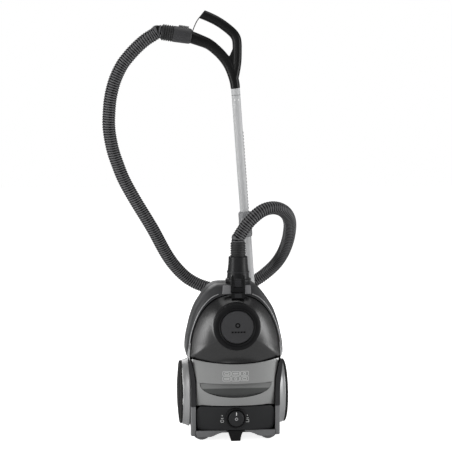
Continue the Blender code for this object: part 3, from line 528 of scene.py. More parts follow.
def along(route, count, closed=False, fine=24):
    """Evenly spaced points on the smooth curve through the route."""
    spans = len(route) if closed else len(route) - 1
    line = [spline(route, i / fine, closed) for i in range(spans * fine)]
    line.append(Vector(route[0 if closed else -1]))
    lengths = [0.0]
    for a, b in zip(line, line[1:]):
        lengths.append(lengths[-1] + (b - a).length)
    out, at = [], 0
    for step in range(count):
        goal = lengths[-1] * step / (count if closed else count - 1)
        while at < len(lengths) - 2 and lengths[at + 1] < goal:
            at += 1
        part = (goal - lengths[at]) / max(1e-9, lengths[at + 1] - lengths[at])
        out.append(line[at].lerp(line[at + 1], min(1.0, part)))
    return out


def matched(outlines, per_span=6):
    """Outlines given with equally many points, made smooth with points that still match."""
    return [[tuple(spline(outline, i / per_span, True)) for i in range(len(outline) * per_span)]
            for outline in outlines]


def frames(line):
    """(middle, up, across) along a line, with no twist."""
    out = []
    up = (line[1] - line[0]).orthogonal().normalized()
    for index, middle in enumerate(line):
        run = (line[min(index + 1, len(line) - 1)] - line[max(index - 1, 0)]).normalized()
        up = (up - run * up.dot(run)).normalized()
        out.append((middle, up, run.cross(up)))
    return out


def tube(name, line, radius, look, sides=32, sharp=40):
    """A solid round tube; radius is a number or a function of (index, angle)."""
    line = [Vector(p) for p in line]
    rings = []
    for index, (middle, up, across) in enumerate(frames(line)):
        ring = []
        for step in range(sides):
            angle = math.tau * step / sides
            r = radius(index, angle) if callable(radius) else radius
            ring.append(middle + (up * math.cos(angle) + across * math.sin(angle)) * r)
        rings.append(ring)
    return skin(name, rings, look, sharp=sharp)


def hollow(name, line, outer, inner, look, sides=48):
    line = [Vector(p) for p in line]
    rings = []
    for radius, order in ((outer, 1), (inner, -1)):
        found = [[m + (u * math.cos(math.tau * s / sides) + a * math.sin(math.tau * s / sides))
                  * radius for s in range(sides)] for m, u, a in frames(line)]
        rings += found[::order]
    return skin(name, rings, look, closed=True)


def wand_at(z):
    return WAND_FOOT.lerp(WAND_HEAD, (z - WAND_FOOT.z) / (WAND_HEAD.z - WAND_FOOT.z))


def put(obj, body, slot, *nodes):
    """Rides a piece on its body in place of CAD nodes."""
    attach(obj, body)
    if nodes:
        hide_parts(*nodes)
    return obj


# ---- stage ------------------------------------------------------------------------------------


def make_camera():
    data = bpy.data.cameras.new("camera")
    data.lens = CAMERA_LENS
    data.sensor_width = 36
    camera = bpy.data.objects.new("camera", data)
    azimuth, elevation = math.radians(CAMERA_AZIMUTH), math.radians(CAMERA_ELEVATION)
    back = Vector((math.sin(azimuth) * math.cos(elevation),
                   -math.cos(azimuth) * math.cos(elevation), math.sin(elevation)))
    camera.location = CAMERA_PLACE
    camera.rotation_mode = "QUATERNION"
    camera.rotation_quaternion = (-back).to_track_quat("-Z", "Y")
    bpy.context.collection.objects.link(camera)
    bpy.context.scene.camera = camera


def make_floor():
    points = [(x * FLOOR_REACH, y * FLOOR_REACH, -0.5)
              for x, y in ((-1, -1), (1, -1), (1, 1), (-1, 1))]
    floor = piece("floor", points, [[0, 1, 2, 3]], "mark")
    look = Look("floor_pale", 0.9)
    look.colour((0.80, 0.80, 0.80), (0.84, 0.84, 0.84), look.spread(look.noise(3), 0, 1))
    look.shader.inputs["Emission Color"].default_value = (1, 1, 1, 1)
    seen = look.tree.nodes.new("ShaderNodeLightPath").outputs["Is Camera Ray"]
    glow = look.spread(seen, FLOOR_GLOW, FLOOR_GLOW_SEEN, 0.0, 1.0)
    look.link(glow, look.shader.inputs["Emission Strength"])
    floor.data.materials.clear()
    floor.data.materials.append(look.material)


def lamp(name, place, target, width, power, height):
    data = bpy.data.lights.new(name, "AREA")
    data.shape = "RECTANGLE"
    data.size = width
    data.size_y = height
    data.energy = power
    light = bpy.data.objects.new(name, data)
    light.location = place
    light.rotation_mode = "QUATERNION"
    light.rotation_quaternion = (Vector(target) - Vector(place)).to_track_quat("-Z", "Y")
    bpy.context.collection.objects.link(light)


def make_lights():
    """A white backdrop, which lights the object less than it shows, and soft boxes."""
    world = bpy.data.worlds.new("studio")
    world.use_nodes = True
    tree = world.node_tree
    ambient = tree.nodes["Background"]
    ambient.inputs["Color"].default_value = (1.0, 1.0, 1.0, 1)
    ambient.inputs["Strength"].default_value = AMBIENT
    backdrop = tree.nodes.new("ShaderNodeBackground")
    backdrop.inputs["Color"].default_value = (1.0, 1.0, 1.0, 1)
    seen = tree.nodes.new("ShaderNodeLightPath")
    mix = tree.nodes.new("ShaderNodeMixShader")
    tree.links.new(seen.outputs["Is Camera Ray"], mix.inputs[0])
    tree.links.new(ambient.outputs[0], mix.inputs[1])
    tree.links.new(backdrop.outputs[0], mix.inputs[2])
    tree.links.new(mix.outputs[0], tree.nodes["World Output"].inputs["Surface"])
    bpy.context.scene.world = world
    bpy.context.scene.view_settings.view_transform = "Standard"
    for name, place, aim, width, power, height in LAMPS:
        lamp(name, place, (0, 0, aim), width, power, height)


# ---- canister casings -----------------------------------------------------------------------------


def mouth_y(z):
    return -73.0 - 13.0 * min(1.0, max(0.0, (260 - z) / 110))


def lower_front_y(x):
    return LOWER_FRONT_Y + LOWER_BEND * min(1.0, abs(x) / 117) ** 2


def rim_point(outer, inner, part):
    """A point of the casing's rolled rim, from its outer edge (0) to the mouth (1)."""
    (ax, az), (bx, bz) = outer, inner
    sx, sz = ax * RIM_SCALE, BODY_MID_Z + (az - BODY_MID_Z) * RIM_SCALE
    y = RIM_Y + (mouth_y(bz) - RIM_Y) * part ** 0.8
    return sx + (bx - sx) * part, y, sz + (bz - sz) * part


def make_shell():
    outline, mouth = matched([mirrored(SHELL_OUTLINE), mirrored(MOUTH_OUTLINE)], 6)

    def shrunk(y, scale):
        return [(x * scale, y, BODY_MID_Z + (z - BODY_MID_Z) * scale) for x, z in outline]

    def between(part):
        return [rim_point(outer, inner, part) for outer, inner in zip(outline, mouth)]

    outside = [(82, 0.3), (82, 0.6), (82, 0.74), (81.5, 0.79), (80, 0.835), (77, 0.885), (72, 0.928),
               (64, 0.962), (54, 0.982), (40, 0.994), (24, 1.0), (-16.4, 1.0), (-17.2, 0.999),
               (-17.6, 0.993), (-18.8, 0.993), (-19.2, 0.999), (-20, 1.0), (-40, 1.0),
               (-50, 0.999), (-57, 0.994)]
    rings = [shrunk(y, scale) for y, scale in outside]
    rings += [between(part) for part in (0.0, 0.04, 0.2, 0.4, 0.6, 0.8, 0.94)]
    rings.append([(x, mouth_y(z) + 0.6, z) for x, z in mouth])
    rings.append([(x, mouth_y(z) + 12, z) for x, z in mouth])
    rings += [shrunk(y, scale) for y, scale in
              ((-42, 0.965), (44, 0.955), (64, 0.91), (73, 0.84), (77, 0.7), (77.5, 0.3))]
    shell = skin("casing", rings, "casing", sharp=50)
    boolean(shell, turned("c1", [(0, 380), (23, 380), (23, 420), (0, 420)], INLET, (0, 0, 1),
                          "casing", 48, 0))
    boolean(shell, block("c2", (-46, 70, 96), (46, 90, 160), "casing", 0))
    boolean(shell, turned("c3", [(0, -20), (9, -20), (9, 20), (0, 20)], (-62, 8, 12),
                          (0, 0, 1), "casing", 32, 0))
    put(shell, "canister", "graphite_casing", "lower_shell")


def polar_outline(outline, middle, count):
    """Points where rays from the middle at even angles meet the smooth outline."""
    dense = [Vector(p) for p in along([(*p, 0) for p in outline], 720, True)]
    angles = [math.atan2(p.y - middle[1], p.x - middle[0]) for p in dense]
    out = []
    for step in range(count):
        goal = math.tau * step / count - math.pi
        best = None
        for i in range(len(dense)):
            j = (i + 1) % len(dense)
            span = (angles[j] - angles[i] + math.pi) % math.tau - math.pi
            part = (goal - angles[i] + math.pi) % math.tau - math.pi
            if abs(span) > 1e-12 and 0 <= part / span < 1:
                best = dense[i].lerp(dense[j], part / span)
                break
        out.append((best.x, best.y) if best else (dense[0].x, dense[0].y))
    return out


def make_lid():
    count = 180
    middle = (0.0, CAP_Z)
    outline = polar_outline(mirrored(LID_OUTLINE), middle, count)
    collar = 59.3

    def dome(x, z, reach):
        low = min(1.0, max(0.0, (250 - z) / 41))
        edge = LID_EDGE_Y + (lower_front_y(x) - LID_EDGE_Y) * low
        return LID_FRONT_Y + (edge - LID_FRONT_Y) * reach ** 2.6

    def ring(reach, shift, lift):
        out = []
        for x, z in outline:
            far = math.hypot(x - middle[0], z - middle[1])
            r = reach(far)
            px = middle[0] + (x - middle[0]) * r / far
            pz = middle[1] + (z - middle[1]) * r / far
            y = lift(px, pz, r / far) if lift else shift
            out.append((px, y + (shift if lift else 0), pz))
        return out

    rings = [ring(lambda far: 57.0, -124.0, None), ring(lambda far: 57.0, -126.6, None),
             ring(lambda far: 57.4, -127.0, None), ring(lambda far: collar - 0.5, -127.0, None),
             ring(lambda far: collar, -126.4, None)]
    for part in (0.0, 0.015, 0.1, 0.22, 0.34, 0.46, 0.58, 0.7, 0.8, 0.88, 0.94, 0.98):
        bulge = 1.2 * math.exp(-part * 60)
        rings.append(ring(lambda far, p=part: collar + 0.3 + (far - collar - 0.3) * p,
                          -bulge, dome))
    rings.append(ring(lambda far: far - 0.5, 0.1, dome))
    rings.append(ring(lambda far: far, 0.9, dome))
    rings.append(ring(lambda far: far, 3.0, dome))
    for part in (0.9, 0.6, 0.3, 0.1):
        rings.append(ring(lambda far, p=part: collar - 2 + (far - collar) * p, 3.0, dome))
    rings.append(ring(lambda far: 56.0, -122.0, None))
    lid = skin("lid_dome", rings, "lid", closed=True, sharp=55)
    plate = turned("lid_plate", [(0, -3.6), (56.9, -3.6), (56.9, -0.6), (0, -0.6)],
                   (0, LID_FRONT_Y, CAP_Z), (0, -1, 0), "lid", 96, 0.3)
    put(lid, "lid", "smoked_lid", "lid_cover")
    put(plate, "lid", "smoked_lid")


def make_cap():
    base = (0, LID_FRONT_Y - 0.3, CAP_Z)

    def knurl(angle, radius, height):
        if radius < 53 or height < 1.5 or height > 8.6:
            return 0.0
        return 0.35 * math.cos(angle * 90)

    ring = turned("cap_ring_knurled",
                  [(43.4, 0), (61, 0), (61, 3.2), (60.2, 5.2), (58.3, 7.2), (55, 8.8),
                   (51.8, 9.4), (50.6, 9.3), (50, 8.3), (49.3, 8.3), (48.7, 9.2), (47.2, 8.8),
                   (45.2, 7.8), (44, 6.4), (43.4, 4.2)],
                  base, (0, -1, 0), "ring", 360, 0.4, wobble=knurl)
    disc = turned("cap_disc_domed",
                  [(0, 0), (43, 0), (43, 4.6), (42.2, 6.2), (40.4, 7.2), (36, 7.9), (24, 8.6),
                   (10, 8.95), (0, 9)], base, (0, -1, 0), "disc", 128, 0.4)
    put(ring, "cap", "black_plastic", "cap_ring")
    put(disc, "cap", "dark_grey", "cap_disc")
    front = base[1] - 8.95
    hoop = turned("cap_mark", [(3.2, -0.6), (6.6, -0.6), (6.6, 0.35), (3.2, 0.35)],
                  (base[0] + 1, front + 0.2, CAP_Z + 5), (0, -1, 0), "mark_and_shadow_dark", 48, 0.1)
    put(hoop, "cap", "dark_grey")
    for step in range(5):
        x = base[0] - 15 + step * 7.6
        dash = block(f"cap_dash_{step}", (x, front - 0.1, CAP_Z - 14.5),
                     (x + 5.4, front + 0.7, CAP_Z - 10.5), "mark_and_shadow_dark", 0.2)
        put(dash, "cap", "dark_grey")


def panel_skin(name, inner, outer, front, wall, look, steps, hole_wall=None, fillet=1.2):
    """A curved panel between an inner and an outer outline with rolled edges."""
    def at(part):
        return [(ix + (ox - ix) * part, iz + (oz - iz) * part)
                for (ix, iz), (ox, oz) in zip(inner, outer)]

    def moved(ring, reach):
        """The ring's points moved towards its outer or inner neighbour by millimetres."""
        out = []
        for (x, z), (ix, iz), (ox, oz) in zip(ring, inner, outer):
            dx, dz = ox - ix, oz - iz
            length = math.hypot(dx, dz) or 1.0
            out.append((x + dx / length * reach, z + dz / length * reach))
        return out

    def level(flat, shift):
        return [(x, front(x, z) + shift, z) for x, z in flat]

    rings = []
    depth = hole_wall or wall
    rings.append(level(inner, depth))
    rings.append(level(inner, fillet))
    rings.append(level(moved(inner, fillet * 0.3), fillet * 0.3))
    rings.append(level(moved(inner, fillet), 0))
    for step in range(1, steps):
        rings.append(level(at(step / steps), 0))
    rings.append(level(moved(outer, -fillet), 0))
    rings.append(level(moved(outer, -fillet * 0.3), fillet * 0.3))
    rings.append(level(outer, fillet))
    rings.append(level(outer, wall))
    for step in range(steps - 1, 0, -1):
        rings.append(level(at(step / steps), wall))
    return skin(name, rings, look, closed=True, sharp=55)


def smile(count):
    """The finger recess's outline: nearly flat on top, round below."""
    half, top, depth = 93.0, 155.0, 36.0
    lower = [(half * math.cos(math.pi * i / count),
              top - depth * max(0.0, math.sin(math.pi * i / count)) ** 0.8)
             for i in range(count + 1)]
    upper = [(-half + 2 * half * i / count, top + 0.01) for i in range(1, count)]
    return lower + upper


def ray_matched(inner, outline, middle):
    """For each inner point, the point of the outline in the same direction from the middle."""
    dense = along([(*p, 0) for p in outline], 1440, True)
    found = []
    for x, z in inner:
        goal = math.atan2(z - middle[1], x - middle[0])
        best = min(dense, key=lambda p: abs((math.atan2(p.y - middle[1], p.x - middle[0])
                                             - goal + math.pi) % math.tau - math.pi))
        found.append((best.x, best.y))
    return found


def cover_front(x, z):
    return lower_front_y(x) + 8.0 * max(0.0, (150 - z) / 53) ** 1.5


def make_cover():
    top = [(x, z - 1.2) for x, z in LID_OUTLINE[-4:]][::-1]
    half = top + [(114.5, 216), (113, 207), (108.5, 186), (104, 165), (102.8, 150),
                  (102.8, 130), (103.2, 104), (103.4, 90), (102.6, 86.5), (99.5, 91),
                  (94, 94.2), (86, 95), (0, 95.4)]
    inner = smile(70)
    outer = ray_matched(inner, mirrored(half), (0, 145))
    cover = panel_skin("silver_cover_shaped", inner, outer, cover_front, 3.0, "silver", 14, 8.0)
    put(cover, "canister", "silver_paint", "silver_cover")
    seam = [(x, cover_front(x, 155.6) + 0.1, 155.6) for x in range(-101, 102, 4)]
    put(tube("cover_seam", seam, 0.5, "recess", 10), "canister", "dark_grey")
    lip = [(x, z) for x, z in smile(60) if z < 153]
    edge = [(x, cover_front(x, z) + 0.7, z) for x, z in lip]
    put(tube("recess_edge", edge, 0.9, "ring", 10), "canister", "dark_grey")
    # A near-black bead along the lid's lower edge: painted shadow in the gap between lid and cover.
    lower = [(x, z) for x, z in LID_OUTLINE[-4:]][::-1]
    route = [(x, z - 0.5) for x, z in lower]
    route = [(-x, z) for x, z in reversed(route[1:])] + route
    gap = [(p.x, lower_front_y(p.x) + 0.9, p.y) for p in along([(*q, 0) for q in route], 60)]
    put(tube("lid_gap_painted_shadow", gap, 1.5, "mark_and_shadow_dark", 12), "canister", "dark_grey")


def bead_loop(name, flat, front, radius, look):
    """A thin raised line round a closed flat outline, lying on a curved front."""
    rings, count = [], len(flat)
    for index, (x, z) in enumerate(flat):
        after, before = Vector(flat[(index + 1) % count]), Vector(flat[index - 1])
        run = (after - before).normalized()
        rings.append([(x + run.y * radius * math.cos(a), front(x, z) + radius * math.sin(a),
                       z - run.x * radius * math.cos(a))
                      for a in (math.tau * step / 8 for step in range(8))])
    return skin(name, rings, look, closed=True, sharp=80)


def rounded_box(x0, z0, x1, z1, radius, steps=4):
    out = []
    for cx, cz, start in ((x1 - radius, z1 - radius, 0), (x0 + radius, z1 - radius, 90),
                          (x0 + radius, z0 + radius, 180), (x1 - radius, z0 + radius, 270)):
        for step in range(steps + 1):
            a = math.radians(start + 90 * step / steps)
            out.append((cx + radius * math.cos(a), cz + radius * math.sin(a)))
    return out


def make_pictograms():
    """Two rows of outlined tiles, each with a plain shape in it."""
    left, bottom, width, height, gap = -35.5, 163.5, 20.6, 11.2, 2.6

    def glyph(name, shape, cx, cz):
        if shape == "bar":
            flat = rounded_box(cx - 6, cz - 1.3, cx + 6, cz + 1.3, 1.2)
        elif shape == "ring":
            flat = [(cx + 3 * math.cos(math.tau * i / 24), cz + 3 * math.sin(math.tau * i / 24))
                    for i in range(24)]
        else:
            flat = rounded_box(cx - 5.5, cz - 2.8, cx + 5.5, cz + 2.8, 2.4)
        put(bead_loop(name, flat, cover_front, 0.65, "mark_light"), "canister",
            "silver_paint")

    shapes = ("bar", "ring", "pill", "pill", "bar", "ring")
    for index, shape in enumerate(shapes):
        column, row = index % 3, index // 3
        x0 = left + column * (width + gap)
        z0 = bottom + row * (height + gap)
        tile = rounded_box(x0, z0, x0 + width, z0 + height, 2.6)
        put(bead_loop(f"tile_{index}", tile, cover_front, 0.55, "mark_light"), "canister",
            "silver_paint")
        glyph(f"tile_shape_{index}", shape, x0 + width / 2, z0 + height / 2)


def make_wings():
    """Silver strips on the casing's rim, beside the lid's lower corners."""
    outline, mouth = matched([mirrored(SHELL_OUTLINE), mirrored(MOUTH_OUTLINE)], 6)
    for side, name in ((1, "right"), (-1, "left")):
        picked = [(a, b) for a, b in zip(outline, mouth)
                  if a[0] * side > 60 and 206 < a[1] < 262]
        rings = []
        for outer, inner in picked:
            taper = min(1.0, (262 - outer[1]) / 40)
            near, far = [], []
            for step in range(7):
                x, y, z = rim_point(outer, inner, 1 - taper * 0.93 * (1 - step / 6))
                near.append((x + side * 0.35, y - 0.45, z))
                far.append((x - side * 0.6, y + 0.9, z))
            rings.append(near + far[::-1])
        put(skin("rim_wing_" + name, rings, "arch", sharp=60), "canister", "silver_paint")


def panel_front(x, z):
    return -101.0 + 5.0 * (93.0 - z) / 64.0 + 12.0 * (abs(x) / 103) ** 2


def make_control_panel():
    half = [(0, 93), (84, 93), (93, 92), (99, 88), (102, 81), (103, 70), (102.3, 55),
            (101, 42), (99, 32), (96, 29.3), (88, 29), (0, 29)]
    count = 160
    hole = [(7 * math.cos(math.tau * i / count), 63 + 7 * math.sin(math.tau * i / count))
            for i in range(count)]
    outer = ray_matched(hole, mirrored(half), (0, 63))
    panel = panel_skin("panel_face", hole, outer, panel_front, 3.0, "panel", 12, 6.0, 1.6)
    put(panel, "canister", "dark_grey", "control_panel")


def make_dial():
    base = (0, -101.3, 63)
    ring = turned("dial_bezel", [(21, 0), (27, 0), (27, 2.6), (26.2, 4.2), (24.6, 5), (22.4, 4.8),
                                 (21, 3.6)], base, (0, -1, 0), "black", 96, 0.5)
    put(ring, "canister", "black_plastic", "dial_ring")

    def grips(angle, radius, height):
        if radius < 18 or height < 2 or height > 10.5:
            return 0.0
        return -0.5 * max(0.0, math.cos(angle * 24)) ** 2

    face = turned("dial_knob", [(0, -9), (6, -9), (6, 0.4), (20, 0.4), (20, 9.4), (19, 11.2),
                                (17.4, 12), (10, 12.3), (0, 12.5)],
                  base, (0, -1, 0), "panel", 192, 0.5, wobble=grips)
    put(face, "dial", "dark_grey", "power_dial")
    line = block("dial_line", (-1.0, base[1] - 12.95, 72.5), (1.0, base[1] - 11.4, 80.5),
                 "mark", 0.2)
    put(line, "dial", "dark_grey")
    dot = turned("dial_dot", [(2.4, 12), (4.0, 12), (4.0, 12.75), (2.4, 12.75)], base,
                 (0, -1, 0), "mark_grey", 32, 0.05)
    put(dot, "dial", "dark_grey")

    def panel_lift(x, z):
        return panel_front(x, z) - 0.1

    for side, name in ((1, "right"), (-1, "left")):
        x = -3 + side * 33
        box = rounded_box(x - 4, 51, x + 4, 57.5, 1.0 if side > 0 else 2.6)
        put(bead_loop("panel_tile_" + name, box, panel_lift, 0.6, "mark_light"), "canister",
            "dark_grey")
        y = panel_front(x, 63)
        bar = block("panel_bar_" + name, (x - 3.2, y - 0.4, 61), (x + 3.2, y + 0.6, 62.6),
                    "mark_light", 0.2)
        put(bar, "canister", "dark_grey")
        dot = turned("panel_dot_" + name, [(0, -0.5), (1.3, -0.5), (1.3, 0.5), (0, 0.5)],
                     (x, panel_front(x, 69), 69), (0, -1, 0), "mark_light", 16, 0.1)
        put(dot, "canister", "dark_grey")


def make_piping():
    half = [(44, 384), (61, 376), (76, 362.5), (88.5, 346.5), (100, 325.5), (109, 302),
            (115.4, 280), (119.2, 258), (121, 240)]
    for side, name in ((1, "right"), (-1, "left")):
        route = [(side * x, mouth_y(z) - 3.0, z + 1.5) for x, z in half]
        bead = tube("piping_" + name, along(route, 80), 1.35, "arch", 12)
        put(bead, "canister", "silver_paint", "rim_piping_" + name)


def make_trims():
    """Dark strips beside the silver cover, and lighter corners below them."""
    upper = [(104.4, 92), (117, 92), (117, 140), (119.5, 165), (122.5, 190), (124.8, 212),
             (118.2, 212.6), (114.8, 206), (110.4, 186), (106.1, 165), (104.4, 150)]
    corner = [(104.4, -92), (112, -92), (115.4, -90.6), (117, -87.5), (117, -71.5),
              (109.7, -71.5), (109.7, -87), (104.4, -87)]
    side_wall = [(109.7, -87.2), (116.6, -87.2), (116.6, -71.5), (109.7, -71.5)]
    for side, name in ((1, "right"), (-1, "left")):
        strip = prism("trim_" + name, [(side * x, z) for x, z in upper], -92, -70,
                      "casing_dark", bevel=1.4)
        put(strip, "canister", "dark_grey", "side_trim_" + name)
        wall = prism("trim_wall_" + name, [(side * x, y) for x, y in side_wall], 92, 150,
                     "casing_dark", "XY", 0.8)
        put(wall, "canister", "dark_grey")
        low = prism("corner_" + name, [(side * x, y) for x, y in corner], 14.3, 91.7, "corner",
                    "XY", 1.6)
        put(low, "canister", "dark_grey")


def make_pads():
    """Shallow humps under the rear corners."""
    hump = along([(x, z, 0) for x, z in ((58, 11.6), (66, 9.4), (74, 4), (82, 0.8), (88, 0),
                                         (94, 0.8), (102, 4.5), (107, 9), (108.4, 11.6))], 40)
    depths = ((-78, 0.25), (-76.6, 0.1), (-74, 0.0), (-30, 0.0), (-10, 0.0), (-7.4, 0.1),
              (-6, 0.25))
    for side, name in ((1, "right"), (-1, "left")):
        rings = [[(side * (88 + (p.x - 88) * (1 - rise * 0.3)), y,
                   11.6 - (11.6 - p.y) * (1 - rise)) for p in hump] for y, rise in depths]
        put(skin("hump_" + name, rings, "satin", sharp=50), "canister", "satin_grey",
            "rear_pad_" + name)


def make_foot():
    half = [(12.4, 0), (12.6, 3), (13.2, 8), (14.2, 13), (15.8, 18), (18.2, 23), (21.5, 28.2)]
    outline = half + [(-x, z) for x, z in reversed(half)]
    front = prism("foot_front", outline, -96, -89.6, "black", bevel=1.2)
    runner_half = [(12.4, 0), (12.6, 3), (13.4, 7), (15.2, 11.6)]
    runner = prism("foot_runner", runner_half + [(-x, z) for x, z in reversed(runner_half)],
                   -90.5, 76, "black", bevel=0.8)
    put(front, "canister", "dark_grey", "rear_foot")
    put(runner, "canister", "dark_grey")


def make_lip():
    """Wavy lower lip of the casing, on each side of the foot."""
    outline = [(104, 28.6), (103.6, 17), (100, 13.6), (92, 12.2), (66, 12.2), (58, 14.6),
               (48, 19.5), (38, 22.8), (24, 24.6), (24, 28.6)]
    for side, name in ((1, "right"), (-1, "left")):
        lip = prism("lower_lip_" + name, [(side * x, z) for x, z in outline], -96.5, -89,
                    "corner", bevel=1.4)
        put(lip, "canister", "satin_grey")


def make_tongue():
    """Catch on the lid that runs up into the latch rails."""
    rings = [[(-11.5, front, z), (24.3, front, z), (24.3, front + 5, z), (-11.5, front + 5, z)]
             for z, front in ((376, -94.8), (377, -95.6), (381, -94.0), (386, -91.6),
                              (390.8, -89.4))]
    put(skin("lid_catch", rings, "black", sharp=40), "lid", "black_plastic")
    slot = [[(-3, front - 0.5, z), (15.8, front - 0.5, z), (15.8, front + 0.5, z),
             (-3, front + 0.5, z)]
            for z, front in ((378.5, -95.0), (381, -94.0), (386, -91.6), (388.5, -90.4))]
    put(skin("lid_catch_face", slot, "panel", sharp=40), "lid", "black_plastic")


def make_head():
    """Low floor head with rounded ends, a notch for the neck and a suction slot below."""
    section = [(200, 8), (204, 3.3), (296, 3.3), (304, 6), (306, 9), (305, 15), (302, 21),
               (294, 26), (280, 31), (258, 36), (240, 38), (228, 38), (214, 35), (205, 29),
               (201, 18)]
    stations = [(-25, 0.74), (-24, 0.82), (-21, 0.9), (-15, 0.96), (-6, 0.99), (6, 1.0),
                (56, 1.0), (80, 1.0), (104, 1.0), (144, 1.0), (155, 0.99), (163, 0.95),
                (168, 0.88), (170.5, 0.8), (171.5, 0.72)]
    rings = [[(x, 255 + (y - 255) * (0.5 + scale / 2), 3.3 + (z - 3.3) * scale)
              for y, z in section] for x, scale in stations]
    head = skin("head_body", rings, "casing_dark", sharp=50)
    cut = turned("neck_hole", [(0, -22), (18, -22), (18, 22), (0, 22)],
                 (80, PIVOT_Y, PIVOT_Z), (1, 0, 0), "casing_dark", 48, 0)
    boolean(head, cut)
    boolean(head, block("mouth_cut", (58, 176, -5), (102, PIVOT_Y, 60), "casing_dark", 0))
    boolean(head, block("slot_cut", (-8, 268, -5), (168, 286, 16), "casing_dark", 0))
    put(head, "head", "dark_grey", "floor_head")
    bumper = [(x, 306.0 - (1 - scale) * 25 - 0.6, 9.5) for x, scale in stations[2:-2]]
    put(tube("head_bumper", bumper, 1.4, "rubber", 12), "head", "soft_black")


def make_nose():
    low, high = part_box("nose_trim")
    low, high = low / MM, high / MM
    trim = [(low.x, low.z), (high.x, low.z), (high.x - 1.5, high.z), (24.6, high.z),
            (24.6, 391), (-11.8, 391), (-11.8, high.z), (low.x + 1.5, high.z)]
    put(prism("nose_block", trim, low.y, high.y, "light_grey", bevel=1.6), "canister",
        "satin_grey", "nose_trim")
    a, b, rail = -11.5, 24.3, 7.0
    outline = [(a, 391.5), (b, 391.5), (b, 433), (b - 1.5, 435), (b - rail + 1, 435),
               (b - rail, 433), (b - rail, 404), (a + rail, 404), (a + rail, 433),
               (a + rail - 1, 435), (a + 1.5, 435), (a, 433)]
    put(prism("latch_rails", outline, -88, -72, "black", bevel=1.0), "canister",
        "black_plastic", "latch_frame")
    put(block("latch_key", (-4, -86.5, 404.8), (16.8, -78, 425.5), "key", 1.4), "latch",
        "collar_grey", "latch_button")
    for step in range(3):
        z = 409.5 + step * 5
        put(block(f"latch_rib_{step}", (-1, -87.2, z), (13.8, -86.2, z + 1.6), "casing_dark", 0.4),
            "latch", "collar_grey")


def ribs(start, end, count, crest, valley, inner):
    """Profile of a bellows-like sleeve, from start to end along its axis."""
    step = (end - start) / count
    out = [(inner, start)]
    for index in range(count):
        low = start + step * index
        out += [(crest, low + step * 0.05), (crest, low + step * 0.5),
                (valley, low + step * 0.62), (valley, low + step * 0.93)]
    return out + [(inner, end)]


def make_inlet():
    connector = turned("connector_body",
                       [(12, 412.4), (32.5, 412.4), (33.5, 413.6), (33.5, 419), (32.4, 420.4),
                        (30, 421.2), (29.3, 424), (28.6, 434), (27, 447), (25.8, 459),
                        (25.2, 470), (25.2, 477), (24.4, 478.8), (12, 479)],
                       INLET, (0, 0, 1), "connector", 96, 0.8)
    put(connector, "canister", "dark_grey", "hose_connector")
    sleeve = turned("connector_sleeve", ribs(479.3, 517.0, 6, 20.4, 18.4, 12), INLET, (0, 0, 1),
                    "sleeve", 72, 0.5)
    put(sleeve, "canister", "soft_black", "inlet_sleeve")
    band = turned("connector_band", [(28.9, 436), (29.6, 436), (29.6, 440), (28.3, 440)],
                  INLET, (0, 0, 1), "casing_dark", 72, 0.3)
    put(band, "canister", "dark_grey")


# ---- hose ----------------------------------------------------------------------------------------


def make_hose():
    run = CUFF_AXIS.normalized()
    grip_end = CUFF_START + run * 78.3
    inlet_end = Vector((INLET.x, INLET.y, 517.3))
    route = [grip_end + run * 9.0, *HOSE_ROUTE, inlet_end + Vector((0, 0, 9.0))]
    rough = [grip_end, *along(route, 300), inlet_end]
    length = sum((b - a).length for a, b in zip(rough, rough[1:]))
    count = int(length / HOSE_PITCH) * HOSE_RINGS_PER_RIB
    line = along(rough, count, fine=4)

    def radius(index, angle):
        turn = index / HOSE_RINGS_PER_RIB + angle / math.tau
        wave = 0.5 + 0.5 * math.cos(math.tau * turn)
        return HOSE_R - 2.0 + 2.0 * wave ** 0.7

    hose = tube("hose_ribbed", line, radius, "hose_crest", HOSE_SIDES, sharp=80)
    # Faces in each rib's groove get the near-black copy: painted shade in the grooves.
    hose.data.materials.append(LOOKS["hose_valley_painted_shade"])
    for index, face in enumerate(hose.data.polygons[:(count - 1) * HOSE_SIDES]):
        ring, side = divmod(index, HOSE_SIDES)
        turn = (ring + 0.5) / HOSE_RINGS_PER_RIB + (side + 0.5) / HOSE_SIDES
        face.material_index = 1 if math.cos(math.tau * turn) < -0.3 else 0
    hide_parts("hose")
    return hose, line, length


def hang_hose(hose, line, length):
    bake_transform(hose)


# ---- wand ------------------------------------------------------------------------------------------


